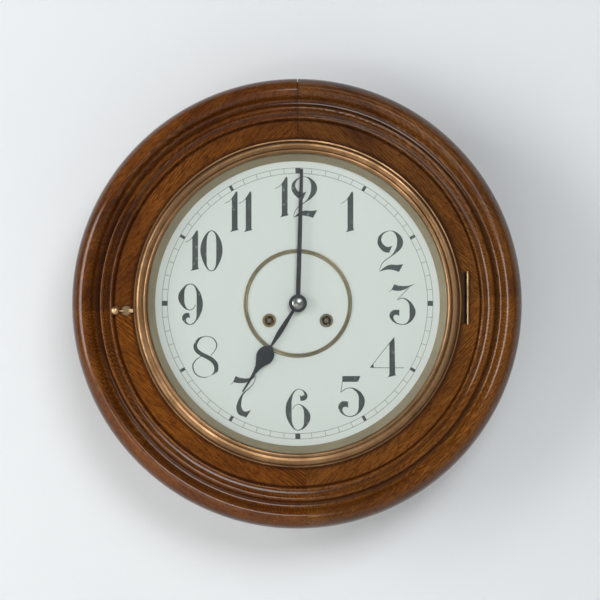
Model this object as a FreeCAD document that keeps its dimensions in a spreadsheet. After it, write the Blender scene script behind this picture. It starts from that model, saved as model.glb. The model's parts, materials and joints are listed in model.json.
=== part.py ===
import FreeCAD, Part
import math
import os
import Sketcher

# A round wall clock: a turned oak rim on an eight-sided drum, a glazed brass bezel hinged on
# the right, a white dial with two winding holes, and an eight-day time-and-strike movement
# with a short pendulum.  +Z is up, the dial faces -Y, and the origin is on the dial's axis
# in the plane of the wall.

os.makedirs("parts", exist_ok=True)
doc = FreeCAD.newDocument("WallClock")
Vec = FreeCAD.Vector

SIZES = (
    ("rim_radius", 236, "outside of the wooden rim"),
    ("bezel_radius", 171.5, "outside of the brass bezel's lip"),
    ("rim_height", 34, "crest of the rim above its back"),
    ("field_height", 20, "flat field of the rim above its back"),
    ("joint_right", 88.4, "clock angle of the rim joint on the right"),
    ("joint_bottom", 177.4, "clock angle of the rim joint at the bottom"),
    ("joint_left", 267.9, "clock angle of the rim joint on the left"),
    ("drum_flat", 186, "centre to the flats of the eight-sided drum"),
    ("drum_depth", 62, "length of the drum's staves"),
    ("stave_wall", 14, "thickness of a stave"),
    ("board_wall", 8, "thickness of the back board"),
    ("hanger_height", 150, "height of the hanging hole"),
    ("dial_wall", 0.7, "thickness of the dial sheet"),
    ("ring_outer", 57, "outside of the brass ring on the dial"),
    ("ring_inner", 52.8, "inside of the brass ring on the dial"),
    ("winding_side", 30, "winding hole from the middle, sideways"),
    ("winding_drop", 18, "winding hole below the middle"),
    ("glass_wall", 2, "thickness of the glass"),
    ("hinge_length", 53, "length of the bezel hinge"),
    ("hinge_rise", 5.6, "middle of the hinge above the dial's middle"),
    ("barrel_radius", 1.6, "radius of the hinge barrel"),
    ("latch_drop", 7.8, "latch below the dial's middle"),
    ("plate_half", 64, "half the width of a movement plate"),
    ("plate_top", 84, "top edge of a movement plate"),
    ("plate_bottom", 56, "bottom edge of a movement plate, below the middle"),
    ("plate_wall", 1.6, "thickness of a movement plate"),
    ("plate_gap", 32, "distance between the movement plates"),
    ("spring_width", 18, "width of a mainspring"),
    ("minute_length", 141, "minute hand, middle to tip"),
    ("hour_length", 109, "hour hand, middle to tip"),
    ("minute_angle", 1.6, "clock angle of the minute hand"),
    ("hour_angle", 212, "clock angle of the hour hand"),
    ("bob_radius", 22, "radius of the pendulum bob"),
    ("gong_radius", 30, "radius of the coiled gong"),
    ("running_fit", 0.05, "radial clearance of a turning shaft"),
)

sheet = doc.addObject("Spreadsheet::Sheet", "Sizes")
for row, (alias, number, meaning) in enumerate(SIZES, start=1):
    sheet.set(f"A{row}", meaning)
    sheet.set(f"B{row}", str(number))
    sheet.setAlias(f"B{row}", alias)
doc.recompute()


class Dim:
    """A size held both as a number and as the sheet expression that gives it."""

    def __init__(self, value, text):
        self.value = float(value)
        self.text = text

    def __add__(self, other):
        other = dim(other)
        return Dim(self.value + other.value, f"({self.text} + {other.text})")

    def __radd__(self, other):
        return dim(other) + self

    def __sub__(self, other):
        other = dim(other)
        return Dim(self.value - other.value, f"({self.text} - {other.text})")

    def __rsub__(self, other):
        return dim(other) - self

    def __mul__(self, other):
        other = dim(other)
        return Dim(self.value * other.value, f"({self.text} * {other.text})")

    def __rmul__(self, other):
        return dim(other) * self

    def __truediv__(self, other):
        other = dim(other)
        return Dim(self.value / other.value, f"({self.text} / {other.text})")

    def __neg__(self):
        return Dim(-self.value, f"(0 - {self.text})")


def dim(value):
    """Return value as a Dim, wrapping a plain number."""
    if isinstance(value, Dim):
        return value
    text = f"{float(value):.9f}".rstrip("0").rstrip(".")
    return Dim(value, f"({text})" if value < 0 else text)


def size(alias):
    """Return one size of the sheet."""
    return Dim(float(sheet.get(alias)), f"Sizes.{alias}")


def cosine(angle):
    """Return the cosine of an angle in degrees."""
    return Dim(math.cos(math.radians(angle.value)), f"cos({angle.text})")


def sine(angle):
    """Return the sine of an angle in degrees."""
    return Dim(math.sin(math.radians(angle.value)), f"sin({angle.text})")


def root(area):
    """Return the square root of a Dim."""
    return Dim(math.sqrt(area.value), f"sqrt({area.text})")


def clock_point(radius, angle):
    """Return (x, z) at a radius and an angle counted clockwise from twelve."""
    angle = dim(angle)
    return dim(radius) * sine(angle), dim(radius) * cosine(angle)


def polar_point(centre, radius, angle):
    """Return the (x, z) point at a radius and an angle (from +X towards +Z) from a centre."""
    angle = dim(angle)
    return centre[0] + dim(radius) * cosine(angle), centre[1] + dim(radius) * sine(angle)


PARTS = []


def new_body(label):
    """Start one sub-part as a PartDesign body."""
    body = doc.addObject("PartDesign::Body", label)
    body.Label = label
    PARTS.append(body)
    return body


def place(part, x=0, y=0, z=0):
    """Bind a sub-part's position to the sheet."""
    point = [dim(value) for value in (x, y, z)]
    part.Placement = FreeCAD.Placement(Vec(*(value.value for value in point)), FreeCAD.Rotation())
    for axis, value in zip("xyz", point):
        if "Sizes." in value.text:
            part.setExpression(f"Placement.Base.{axis}", value.text)


def new_sketch(body, name, role, offset=0, turn=0):
    """Add a sketch on one of the body's own planes, set off along or turned about it."""
    sketch = body.newObject("Sketcher::SketchObject", name)
    plane = next(item for item in body.Origin.OriginFeatures if item.Role == role)
    sketch.AttachmentSupport = [(plane, "")]
    sketch.MapMode = "FlatFace"
    offset = dim(offset)
    turn = dim(turn)
    turning = FreeCAD.Rotation(Vec(0, 1, 0), turn.value)
    sketch.AttachmentOffset = FreeCAD.Placement(Vec(0, 0, offset.value), turning)
    if "Sizes." in offset.text:
        sketch.setExpression("AttachmentOffset.Base.z", offset.text)
    if "Sizes." in turn.text:
        sketch.setExpression("AttachmentOffset.Rotation.Angle", turn.text)
    return sketch


def fix_point(sketch, element, vertex, point):
    """Hold one sketch point at a pair of sheet sizes."""
    for kind, value in zip(("DistanceX", "DistanceY"), point):
        index = sketch.addConstraint(Sketcher.Constraint(kind, -1, 1, element, vertex, value.value))
        sketch.setExpression(f"Constraints[{index}]", value.text)


def draw_outline(sketch, points, arcs=None):
    """Draw a closed outline through points; arcs maps an edge to (radius, side of centre)."""
    arcs = arcs or {}
    points = [(dim(x), dim(y)) for x, y in points]
    ends = []
    for edge, (x, y) in enumerate(points):
        nx, ny = points[(edge + 1) % len(points)]
        start = Vec(x.value, y.value, 0)
        end = Vec(nx.value, ny.value, 0)
        if edge not in arcs:
            element = sketch.addGeometry(Part.LineSegment(start, end), False)
            ends.append((element, 1, 2))
            continue
        radius, side = dim(arcs[edge][0]), arcs[edge][1]
        half = (end - start).Length / 2
        left = Vec(start.y - end.y, end.x - start.x, 0).normalize()
        centre = (start + end) * 0.5 + left * side * math.sqrt(radius.value ** 2 - half ** 2)
        first, last = (start, end) if side > 0 else (end, start)
        circle = Part.Circle(centre, Vec(0, 0, 1), radius.value)
        begin = math.atan2(first.y - centre.y, first.x - centre.x)
        finish = math.atan2(last.y - centre.y, last.x - centre.x)
        element = sketch.addGeometry(Part.ArcOfCircle(circle, begin, finish), False)
        ends.append((element, 1, 2) if side > 0 else (element, 2, 1))
        index = sketch.addConstraint(Sketcher.Constraint("Radius", element, radius.value))
        sketch.setExpression(f"Constraints[{index}]", radius.text)
    for edge, (element, begin, finish) in enumerate(ends):
        fix_point(sketch, element, begin, points[edge])
        following = ends[(edge + 1) % len(ends)]
        sketch.addConstraint(
            Sketcher.Constraint("Coincident", element, finish, following[0], following[1])
        )


def draw_circle(sketch, x, y, radius):
    """Draw one circle held at sheet sizes."""
    x, y, radius = dim(x), dim(y), dim(radius)
    shape = Part.Circle(Vec(x.value, y.value, 0), Vec(0, 0, 1), radius.value)
    element = sketch.addGeometry(shape, False)
    fix_point(sketch, element, 3, (x, y))
    index = sketch.addConstraint(Sketcher.Constraint("Radius", element, radius.value))
    sketch.setExpression(f"Constraints[{index}]", radius.text)


def bind(feature, attribute, value):
    """Set one property of a feature and tie it to the sheet."""
    value = dim(value)
    setattr(feature, attribute, value.value)
    if "Sizes." in value.text:
        feature.setExpression(attribute, value.text)


def revolve(body, name, points, arcs=None, angle=360, turn=0):
    """Turn a (radius, y) profile about the dial's axis, from a start angle if not a full turn."""
    sketch = new_sketch(body, f"{name}_profile", "XY_Plane", turn=turn)
    draw_outline(sketch, points, arcs)
    feature = body.newObject("PartDesign::Revolution", name)
    feature.Profile = sketch
    feature.ReferenceAxis = (sketch, ["V_Axis"])
    bind(feature, "Angle", angle)
    return feature


def slab(body, name, y_back, depth, outline=(), arcs=None, circles=(), cut=False):
    """Pad (or cut) a front-view outline with round holes, from y_back towards the front."""
    sketch = new_sketch(body, f"{name}_outline", "XZ_Plane", offset=-dim(y_back))
    if outline:
        draw_outline(sketch, outline, arcs)
    for x, z, radius in circles:
        draw_circle(sketch, x, z, radius)
    feature = body.newObject("PartDesign::Pocket" if cut else "PartDesign::Pad", name)
    feature.Profile = sketch
    feature.Reversed = cut
    bind(feature, "Length", depth)
    return feature


def keep(label, shape, x=0, y=0, z=0):
    """Store a shape made by formula as one sub-part and set it in its place."""
    part = doc.addObject("Part::Feature", label)
    part.Label = label
    part.Shape = shape
    place(part, x, y, z)
    PARTS.append(part)
    return part


def rod(radius, y_from, y_to, x=0, z=0):
    """Return a round bar along Y."""
    return Part.makeCylinder(radius, abs(y_to - y_from), Vec(x, min(y_from, y_to), z), Vec(0, 1, 0))


def wire_rod(radius, start, end):
    """Return a round bar between two points."""
    along = end - start
    return Part.makeCylinder(radius, along.Length, start, along)


def block(x0, x1, y0, y1, z0, z1):
    """Return a rectangular block between two corners."""
    low = Vec(min(x0, x1), min(y0, y1), min(z0, z1))
    return Part.makeBox(abs(x1 - x0), abs(y1 - y0), abs(z1 - z0), low)


def flat_shape(points, y_from, y_to):
    """Return a flat piece with a front-view outline of (x, z) points."""
    corners = [Vec(x, y_from, z) for x, z in points]
    return Part.Face(Part.makePolygon(corners + corners[:1])).extrude(Vec(0, y_to - y_from, 0))


def fuse_all(shapes):
    """Return one solid made of several that meet."""
    return shapes[0].fuse(list(shapes[1:])).removeSplitter()


def cut_screw_holes(body, name, screws):
    """Cut the holes that a set of (x, y, z, head, shank, length, inward) screws fills."""
    for number, (x, y, z, head, shank, length, inward) in enumerate(screws):
        sketch = new_sketch(body, f"{name}_{number}_profile", "XY_Plane", offset=z)
        x, y = dim(x), dim(y)
        neck = y + inward * (head - shank)
        tip = y + inward * length
        draw_outline(sketch, [(x, y), (x + head, y), (x + shank, neck), (x + shank, tip), (x, tip)])
        feature = body.newObject("PartDesign::Groove", f"{name}_{number}")
        feature.Profile = sketch
        feature.ReferenceAxis = (sketch, ["Edge5"])
        feature.Angle = 360


def wood_screw(x, y_head, z, head, shank, length, inward=1):
    """Return a countersunk wood screw; inward is +1 when it is driven towards the wall."""
    rise = head - shank
    axis = Vec(0, inward, 0)
    cone = Part.makeCone(head, shank, rise, Vec(x, y_head, z), axis)
    stem = Part.makeCylinder(shank, length - rise, Vec(x, y_head + inward * rise, z), axis)
    return cone.fuse(stem).removeSplitter()


# ---------------------------------------------------------------------------- main levels
RIM = size("rim_radius")
BEZEL = size("bezel_radius")
FIT = size("running_fit")
Y_BACK = -(size("board_wall") + size("drum_depth"))
Y_FIELD = Y_BACK - size("field_height")
Y_CREST = Y_BACK - size("rim_height")
Y_DIAL = Y_FIELD + 4
Y_SEAT = Y_DIAL + size("dial_wall")
Y_GLASS = Y_DIAL - 12
Y_PLATE = Y_DIAL + 13
Y_INSIDE = Y_PLATE + size("plate_wall")
Y_REAR = Y_INSIDE + size("plate_gap")
Y_BEHIND = Y_REAR + size("plate_wall")
Y_PENDULUM = (Y_BEHIND - size("board_wall")) / 2
OPENING = BEZEL - 16.5
DIAL = BEZEL - 8.5
HINGE_X = BEZEL + 7
HINGE_Y = Y_FIELD - 2
LATCH_X = -(BEZEL + 7.5)
INSIDE_FLAT = size("drum_flat") - size("stave_wall")


def level(distance):
    """Return the y that lies a distance behind the front plate's inner face."""
    return Y_INSIDE.value + distance


# ---------------------------------------------------------------------------- wooden case
JOINTS = (dim(0), size("joint_right"), size("joint_bottom"), size("joint_left"), dim(360))
SEGMENTS = ("rim_top_right", "rim_bottom_right", "rim_bottom_left", "rim_top_left")
SPLINE_IN = RIM - 44
SPLINE_OUT = RIM - 16
SPLINE_HALF = 8
SPLINE_WALL = 4
Y_SPLINE = Y_BACK - 6


def rim_profile():
    """Return the turned rim's section, from its inner back edge round to the dial's seat."""
    points = [
        (OPENING, Y_BACK),
        (RIM - 3, Y_BACK),
        (RIM, Y_BACK - 5),
        (RIM, Y_BACK - 10),
        (RIM - 11, Y_CREST),
        (RIM - 21.5, Y_CREST + 9),
        (RIM - 29, Y_CREST + 10.5),
        (RIM - 33, Y_CREST + 8.5),
        (RIM - 39.5, Y_FIELD - 1),
        (RIM - 42.3, Y_FIELD - 1),
        (RIM - 43.2, Y_FIELD + 0.6),
        (RIM - 44.5, Y_FIELD - 0.3),
        (DIAL + 1, Y_FIELD + 0.3),
        (DIAL + 1, Y_SEAT),
        (OPENING, Y_SEAT),
    ]
    arcs = {3: (24, -1), 4: (9.5, -1), 5: (4.6, 1), 6: (2.7, -1), 7: (8, 1), 8: (1.5, -1)}
    return points, arcs


def spline_outline(angle):
    """Return the front view of the spline that bridges the rim joint at a clock angle."""
    along = sine(angle), cosine(angle)
    across = cosine(angle), -sine(angle)
    corners = []
    for radius, side in ((SPLINE_IN, -1), (SPLINE_OUT, -1), (SPLINE_OUT, 1), (SPLINE_IN, 1)):
        corners.append(tuple(radius * a + SPLINE_HALF * side * b for a, b in zip(along, across)))
    return corners


MORTISE = [
    (BEZEL - 7.1, size("hinge_rise") - size("hinge_length") / 2 - 0.5),
    (HINGE_X + 2.4, size("hinge_rise") - size("hinge_length") / 2 - 0.5),
    (HINGE_X + 2.4, size("hinge_rise") + size("hinge_length") / 2 + 0.5),
    (BEZEL - 7.1, size("hinge_rise") + size("hinge_length") / 2 + 0.5),
]

# Four quarter segments, each turned from its own piece of oak and butted to its neighbours.
for number, label in enumerate(SEGMENTS):
    segment = new_body(label)
    outline, bends = rim_profile()
    start, stop = JOINTS[number], JOINTS[number + 1]
    revolve(segment, f"{label}_turning", outline, bends, angle=stop - start, turn=start - 90)
    for end, angle in (("first", start), ("second", stop)):
        slab(segment, f"{label}_{end}_slot", Y_SPLINE, SPLINE_WALL, spline_outline(angle), cut=True)
    if number < 2:
        slab(segment, f"{label}_hinge_mortise", Y_FIELD + 1.4, 8, MORTISE, cut=True)

splines = []
for angle in JOINTS[:4]:
    corners = [(x.value, z.value) for x, z in spline_outline(angle)]
    splines.append(flat_shape(corners, Y_SPLINE.value, Y_SPLINE.value - SPLINE_WALL))
keep("rim_splines", Part.makeCompound(splines))


def octagon(flat):
    """Return the corners of an eight-sided outline with a flat at the top."""
    reach = flat / math.cos(math.radians(22.5))
    return [clock_point(reach, 22.5 + 45 * corner) for corner in range(8)]


BOARD_SCREWS = []
for side in range(8):
    x, z = clock_point(size("drum_flat") - size("stave_wall") / 2, 45 * side)
    BOARD_SCREWS.append((x, dim(0), z, 3.6, 1.9, 28, -1))
POSTS = [(x, z) for x in (-57, 57) for z in (-35, 63)]
for x, z in POSTS:
    BOARD_SCREWS.append((dim(x), dim(0), dim(z), 3.6, 1.9, 28, -1))


def screw_set(screws):
    """Return the solids of a set of (x, y, z, head, shank, length, inward) screws."""
    shapes = []
    for x, y, z, head, shank, length, inward in screws:
        shapes.append(wood_screw(x.value, y.value, z.value, head, shank, length, inward))
    return shapes


staves = []
outer_corners = [(x.value, z.value) for x, z in octagon(size("drum_flat"))]
inner_corners = [(x.value, z.value) for x, z in octagon(INSIDE_FLAT)]
for side in range(8):
    following = (side + 1) % 8
    stave = [outer_corners[side], outer_corners[following], inner_corners[following]]
    stave.append(inner_corners[side])
    staves.append(flat_shape(stave, -size("board_wall").value, Y_BACK.value))
board_screws = screw_set(BOARD_SCREWS)
keep("drum_staves", Part.makeCompound([stave.cut(board_screws) for stave in staves]))
keep("back_board_screws", Part.makeCompound(board_screws))

back_board = new_body("back_board")
slab(back_board, "board", 0, size("board_wall"), octagon(size("drum_flat") - 2))
HANGER_Z = size("hanger_height")
HANGER = [(-22, HANGER_Z - 14), (22, HANGER_Z - 14), (22, HANGER_Z + 16), (-22, HANGER_Z + 16)]
slab(back_board, "hanger_mortise", 0, 2, HANGER, cut=True)
slab(back_board, "nail_head_room", 0, size("board_wall"), circles=[(0, HANGER_Z + 2, 10)], cut=True)
cut_screw_holes(back_board, "board_screw_hole", BOARD_SCREWS)
HANGER_SCREWS = [(dim(x), dim(0), HANGER_Z, 2.6, 1.3, 7.5, -1) for x in (-16, 16)]
cut_screw_holes(back_board, "hanger_screw_hole", HANGER_SCREWS)

hanger_plate = new_body("hanger_plate")
slab(hanger_plate, "plate", 0, 2, HANGER, circles=[(0, HANGER_Z, 5)])
slot = [(-1.6, HANGER_Z + 4), (1.6, HANGER_Z + 4), (1.6, HANGER_Z + 9.5), (-1.6, HANGER_Z + 9.5)]
slab(hanger_plate, "keyhole_slot", 0, 2, slot, cut=True)
cut_screw_holes(hanger_plate, "screw_hole", HANGER_SCREWS)
keep("hanger_screws", Part.makeCompound(screw_set(HANGER_SCREWS)))

# ---------------------------------------------------------------------------- dial
EYELETS = [(side * size("winding_side"), -size("winding_drop")) for side in (-1, 1)]
DIAL_SCREWS = [clock_point(DIAL - 3.8, 45 + 90 * quarter) for quarter in range(4)]

dial_pan = new_body("dial_pan")
dial_holes = [(0, 0, DIAL), (0, 0, 6)] + [(x, z, 5.5) for x, z in EYELETS]
dial_holes += [(x, z, 1) for x, z in DIAL_SCREWS]
slab(dial_pan, "sheet", Y_SEAT, size("dial_wall"), circles=dial_holes)

dial_screws = []
for x, z in DIAL_SCREWS:
    head = rod(2.2, Y_DIAL.value, Y_DIAL.value - 1, x.value, z.value)
    dial_screws.append(head.fuse(rod(1, Y_DIAL.value, Y_DIAL.value + 7, x.value, z.value)))
keep("dial_screws", Part.makeCompound(dial_screws))
for label in SEGMENTS:
    segment = doc.getObject(label)
    for number, (x, z) in enumerate(DIAL_SCREWS):
        angle = 45 + 90 * number
        first = JOINTS[SEGMENTS.index(label)].value
        last = JOINTS[SEGMENTS.index(label) + 1].value
        if first < angle < last:
            slab(segment, f"{label}_dial_screw_hole", Y_SEAT + 6.3, 6.3, circles=[(x, z, 1)], cut=True)

centre_ring = new_body("centre_ring")
RING_OUT = size("ring_outer")
RING_IN = size("ring_inner")
ring = [
    (RING_IN, Y_DIAL),
    (RING_OUT, Y_DIAL),
    (RING_OUT, Y_DIAL - 0.5),
    (RING_OUT - 1.6, Y_DIAL - 0.5),
    (RING_IN + 1.6, Y_DIAL - 0.5),
    (RING_IN, Y_DIAL - 0.5),
]
revolve(centre_ring, "ring", ring, {2: (0.9, -1), 4: (0.9, -1)})

eyelets = []
for x, z in EYELETS:
    flange = rod(7.1, Y_DIAL.value, Y_DIAL.value - 0.9, x.value, z.value)
    rounded = flange.makeFillet(0.6, [flange.Edges[0]])
    tube = rod(5.5, Y_DIAL.value, Y_DIAL.value + 1.6, x.value, z.value)
    eyelet = rounded.fuse(tube).cut(rod(5, Y_DIAL.value - 2, Y_DIAL.value + 3, x.value, z.value))
    eyelets.append(eyelet)
keep("winding_eyelets", Part.makeCompound(eyelets))

# ---------------------------------------------------------------------------- bezel
bezel_ring = new_body("bezel_ring")
Y_LIP = Y_FIELD - 0.6
bezel = [
    (BEZEL, Y_LIP),
    (BEZEL, Y_LIP - 1.2),
    (BEZEL - 2.1, Y_LIP - 1.4),
    (BEZEL - 9.2, Y_GLASS - 0.4),
    (BEZEL - 9.9, Y_GLASS - 0.2),
    (BEZEL - 15, Y_GLASS - 0.6),
    (BEZEL - 15, Y_GLASS),
    (BEZEL - 10.3, Y_GLASS),
    (BEZEL - 10.3, Y_GLASS + 3.2),
    (BEZEL - 9.3, Y_GLASS + 3.2),
    (BEZEL - 9.3, Y_GLASS + 1.06),
    (BEZEL - 2.9, Y_GLASS + 5.04),
    (BEZEL - 2.9, Y_LIP),
]
revolve(bezel_ring, "spun_ring", bezel, {2: (5, -1), 4: (2.7, -1), 10: (3.9, 1)})

bezel_glass = new_body("bezel_glass")
GLASS = BEZEL - 10.6
slab(bezel_glass, "pane", Y_GLASS + size("glass_wall"), size("glass_wall"), circles=[(0, 0, GLASS)])

sight_ring = new_body("sight_ring")
Y_FLANGE = Y_GLASS + size("glass_wall")
sight = [
    (BEZEL - 10.3, Y_FLANGE),
    (BEZEL - 10.3, Y_FLANGE + 0.7),
    (BEZEL - 14.9, Y_FLANGE + 0.7),
    (BEZEL - 21.3, Y_DIAL - 0.5),
    (BEZEL - 22, Y_DIAL - 0.5),
    (BEZEL - 15.6, Y_FLANGE),
]
revolve(sight_ring, "cone", sight)

# The hinge: five knuckles, three on the case leaf and two on the bezel leaf.
hinge_z = size("hinge_rise").value
hinge_low = hinge_z - size("hinge_length").value / 2
knuckle = size("hinge_length").value / 5
hinge_x = HINGE_X.value
hinge_y = HINGE_Y.value
barrel = size("barrel_radius").value
PIN = 0.7
field_y = Y_FIELD.value
leaf_x = BEZEL.value - 6.5


def barrel_piece(number):
    """Return one knuckle of the hinge barrel."""
    low = hinge_low + number * knuckle + 0.1
    return Part.makeCylinder(barrel, knuckle - 0.2, Vec(hinge_x, hinge_y, low), Vec(0, 0, 1))


pin_bore = Part.makeCylinder(
    PIN + FIT.value, size("hinge_length").value + 2, Vec(hinge_x, hinge_y, hinge_low - 1), Vec(0, 0, 1)
)
hinge_high = hinge_low + size("hinge_length").value
case_leaf = [
    block(leaf_x, hinge_x + barrel, field_y + 0.4, field_y + 1.4, hinge_low, hinge_high),
]
lip_y = Y_LIP.value
bezel_leaf = [block(leaf_x, hinge_x - 3.4, lip_y, lip_y + 0.7, hinge_low, hinge_high)]
for number in range(5):
    low = hinge_low + number * knuckle + 0.1
    top = low + knuckle - 0.2
    if number % 2:
        bezel_leaf.append(barrel_piece(number))
        bezel_leaf.append(block(leaf_x, hinge_x, lip_y, lip_y + 0.7, low, top))
    else:
        case_leaf.append(barrel_piece(number))
        wall = block(hinge_x + barrel - 0.9, hinge_x + barrel, hinge_y, field_y + 1.4, low, top)
        case_leaf.append(wall)
HINGE_SCREWS = []
for z in (-17, 0, 17):
    HINGE_SCREWS.append((BEZEL - 1.5, Y_FIELD + 0.4, size("hinge_rise") + z, 1.9, 1, 9, 1))
hinge_screws = screw_set(HINGE_SCREWS)
keep("hinge_case_leaf", fuse_all(case_leaf).cut([pin_bore] + hinge_screws))
keep("hinge_bezel_leaf", fuse_all(bezel_leaf).cut(pin_bore))
pin_length = size("hinge_length").value + 1.6
hinge_pin = Part.makeCylinder(PIN, pin_length, Vec(hinge_x, hinge_y, hinge_low - 0.8), Vec(0, 0, 1))
for z in (hinge_low - 1.4, hinge_high + 0.2):
    hinge_pin = hinge_pin.fuse(Part.makeCylinder(1.2, 1.2, Vec(hinge_x, hinge_y, z), Vec(0, 0, 1)))
keep("hinge_pin", hinge_pin.removeSplitter())
keep("hinge_screws", Part.makeCompound(hinge_screws))
for label in SEGMENTS[:2]:
    cut_screw_holes(doc.getObject(label), f"{label}_hinge_screw_hole", HINGE_SCREWS)

# The latch: a turned washer, a lever with a ball and a tongue, and the screw it turns on.
latch_washer = new_body("latch_washer")
revolve(
    latch_washer,
    "washer",
    [
        (1.35, Y_FIELD - 0.3),
        (5.6, Y_FIELD - 0.3),
        (5.6, Y_FIELD - 1),
        (4.6, Y_FIELD - 2),
        (1.35, Y_FIELD - 2),
    ],
    {2: (1.6, -1)},
)
place(latch_washer, LATCH_X, 0, -size("latch_drop"))
lever_y = field_y - 2.3
eye = rod(4.4, lever_y, lever_y - 1.2)
eye = eye.makeFillet(0.4, [eye.Edges[0]])
tongue = [(0, -2.1), (4, -2.1), (6.4, -1.2), (7.1, 0), (6.4, 1.2), (4, 2.1), (0, 2.1)]
ball_at = Vec(-11.5, field_y - 5, 0)
stem = wire_rod(1.05, Vec(-3.4, lever_y - 0.6 - 0.45, 0), ball_at)
ball = Part.makeSphere(4.5)
ball.rotate(Vec(0, 0, 0), Vec(0, 0, 1), 180)
ball.translate(ball_at)
lever = fuse_all([eye, flat_shape(tongue, lever_y, lever_y - 1.2), stem, ball])
LATCH_PIN = 1.3
lever = lever.cut(rod(LATCH_PIN + FIT.value, lever_y + 1, lever_y - 3))
keep("latch_lever", lever, LATCH_X, 0, -size("latch_drop"))
latch_head = rod(2.9, lever_y - 1.4, lever_y - 2.6)
latch_head = latch_head.makeFillet(0.7, [latch_head.Edges[0]])
latch_screw = latch_head.fuse(rod(LATCH_PIN, lever_y - 2, field_y + 10)).removeSplitter()
latch_screw = latch_screw.cut(block(-0.3, 0.3, lever_y - 2.1, lever_y - 3, -4, 4))
keep("latch_screw", latch_screw, LATCH_X, 0, -size("latch_drop"))
latch_hole = [(LATCH_X, -size("latch_drop"), LATCH_PIN)]
for label in SEGMENTS[2:]:
    slab(doc.getObject(label), f"{label}_latch_hole", Y_FIELD + 10, 12, circles=latch_hole, cut=True)

# ---------------------------------------------------------------------------- movement layout
# Each wheel arbor is placed from the one before it: pitch radii add up to the distance.
FINE = 0.5
MIDDLE = 0.55
COARSE = 0.8
CENTRE = (dim(0), dim(0))
TIME_AT = (size("winding_side"), -size("winding_drop"))
STRIKE_AT = (-size("winding_side"), -size("winding_drop"))
REACH = root(TIME_AT[0] * TIME_AT[0] + TIME_AT[1] * TIME_AT[1])
TIME_TEETH = 72
CENTRE_LEAVES = 8
TIME_MODULE = 2 * REACH / (TIME_TEETH + CENTRE_LEAVES)
THIRD_AT = polar_point(CENTRE, (80 + 8) * MIDDLE / 2, 60)
escape_rise = ((80 + 7) * FINE / 2) ** 2 - THIRD_AT[0].value ** 2
ESCAPE_AT = (dim(0), THIRD_AT[1] + math.sqrt(escape_rise))
ESCAPE_RADIUS = 13
VERGE_AT = (dim(0), ESCAPE_AT[1] + ESCAPE_RADIUS * math.sqrt(2))
SECOND_AT = polar_point(STRIKE_AT, (64 + 8) * COARSE / 2, 100)
STOP_AT = polar_point(SECOND_AT, (72 + 8) * 0.6 / 2, 55)
FLY_AT = polar_point(STOP_AT, (60 + 7) * FINE / 2, 150)
HAMMER_AT = (dim(-40), dim(-48))
MINUTE_WHEEL_AT = (dim(0), dim(24))
PILLARS = [(dim(x), dim(z)) for x, z in ((-57, -49), (57, -49), (57, 77), (-57, 77))]
PIVOT = 0.8
ARBOR = 1.5
SLIM_ARBOR = 1.1
WINDING = 3


def toothed_disc(teeth, module, y_near, depth, facing, tooth_faces, bore=0, rich=False):
    """Return a wheel whose tooth (or gap) points towards the facing angle, in degrees."""
    pitch = teeth * module / 2
    step = 2 * math.pi / teeth
    start = math.radians(facing) + (0 if tooth_faces else step / 2)
    flank = [(pitch - 1.3 * module, 0.18), (pitch, 0.18), (pitch + 0.7 * module, 0.04)]
    if rich:
        flank.insert(2, (pitch + 0.35 * module, 0.13))
    outline = []
    for tooth in range(teeth):
        middle = start + tooth * step
        for radius, half in flank:
            turn = middle - half * step
            outline.append((radius * math.cos(turn), radius * math.sin(turn)))
        for radius, half in reversed(flank):
            turn = middle + half * step
            outline.append((radius * math.cos(turn), radius * math.sin(turn)))
    disc = flat_shape(outline, y_near, y_near + depth)
    if bore:
        disc = disc.cut(rod(bore, y_near - 1, y_near + depth + 1))
    return disc


def crossings(inner, outer, y_near, depth, spokes=5, spoke_half=1.3):
    """Return the windows between the spokes of a wheel."""
    windows = []
    for spoke in range(spokes):
        low = 360 / spokes * spoke
        high = low + 360 / spokes
        outline = []
        for radius, steps, forward in ((outer, 5, True), (inner, 3, False)):
            margin = math.degrees(math.asin(spoke_half / radius))
            sweep = high - low - 2 * margin
            angles = [low + margin + sweep * i / (steps - 1) for i in range(steps)]
            for angle in angles if forward else reversed(angles):
                turn = math.radians(angle)
                outline.append((radius * math.cos(turn), radius * math.sin(turn)))
        windows.append(flat_shape(outline, y_near - 1, y_near + depth + 1))
    return windows


def lantern(leaves, module, y_from, y_to, facing):
    """Return a lantern pinion: pins between two shrouds, with a pin towards the facing angle."""
    pitch = leaves * module / 2
    shroud = pitch + 1.1 * module
    pieces = [rod(shroud, y_from, y_from + 0.6), rod(shroud, y_to - 0.6, y_to)]
    for leaf in range(leaves):
        turn = math.radians(facing + 360 / leaves * leaf)
        x, z = pitch * math.cos(turn), pitch * math.sin(turn)
        pieces.append(rod(0.42 * module, y_from, y_to, x, z))
    return pieces


def bearing(first, second):
    """Return the angle, in degrees, from one arbor to another."""
    rise, run = second[1].value - first[1].value, second[0].value - first[0].value
    return math.degrees(math.atan2(rise, run))


def arbor(radius=ARBOR, y_from=None, y_to=None):
    """Return an arbor between the plates with a thinner pivot through each."""
    near = level(0.3) if y_from is None else y_from
    far = level(size("plate_gap").value - 0.3) if y_to is None else y_to
    pivots = rod(PIVOT, Y_PLATE.value, Y_BEHIND.value)
    return [rod(radius, near, far), pivots]


GAP = size("plate_gap").value
T_GREAT = level(2)
T_CENTRE = level(GAP - 5)
T_THIRD = level(5.5)
T_ESCAPE = level(GAP - 3)
T_SECOND = level(GAP - 2.6)
T_STOP = level(12)

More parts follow.
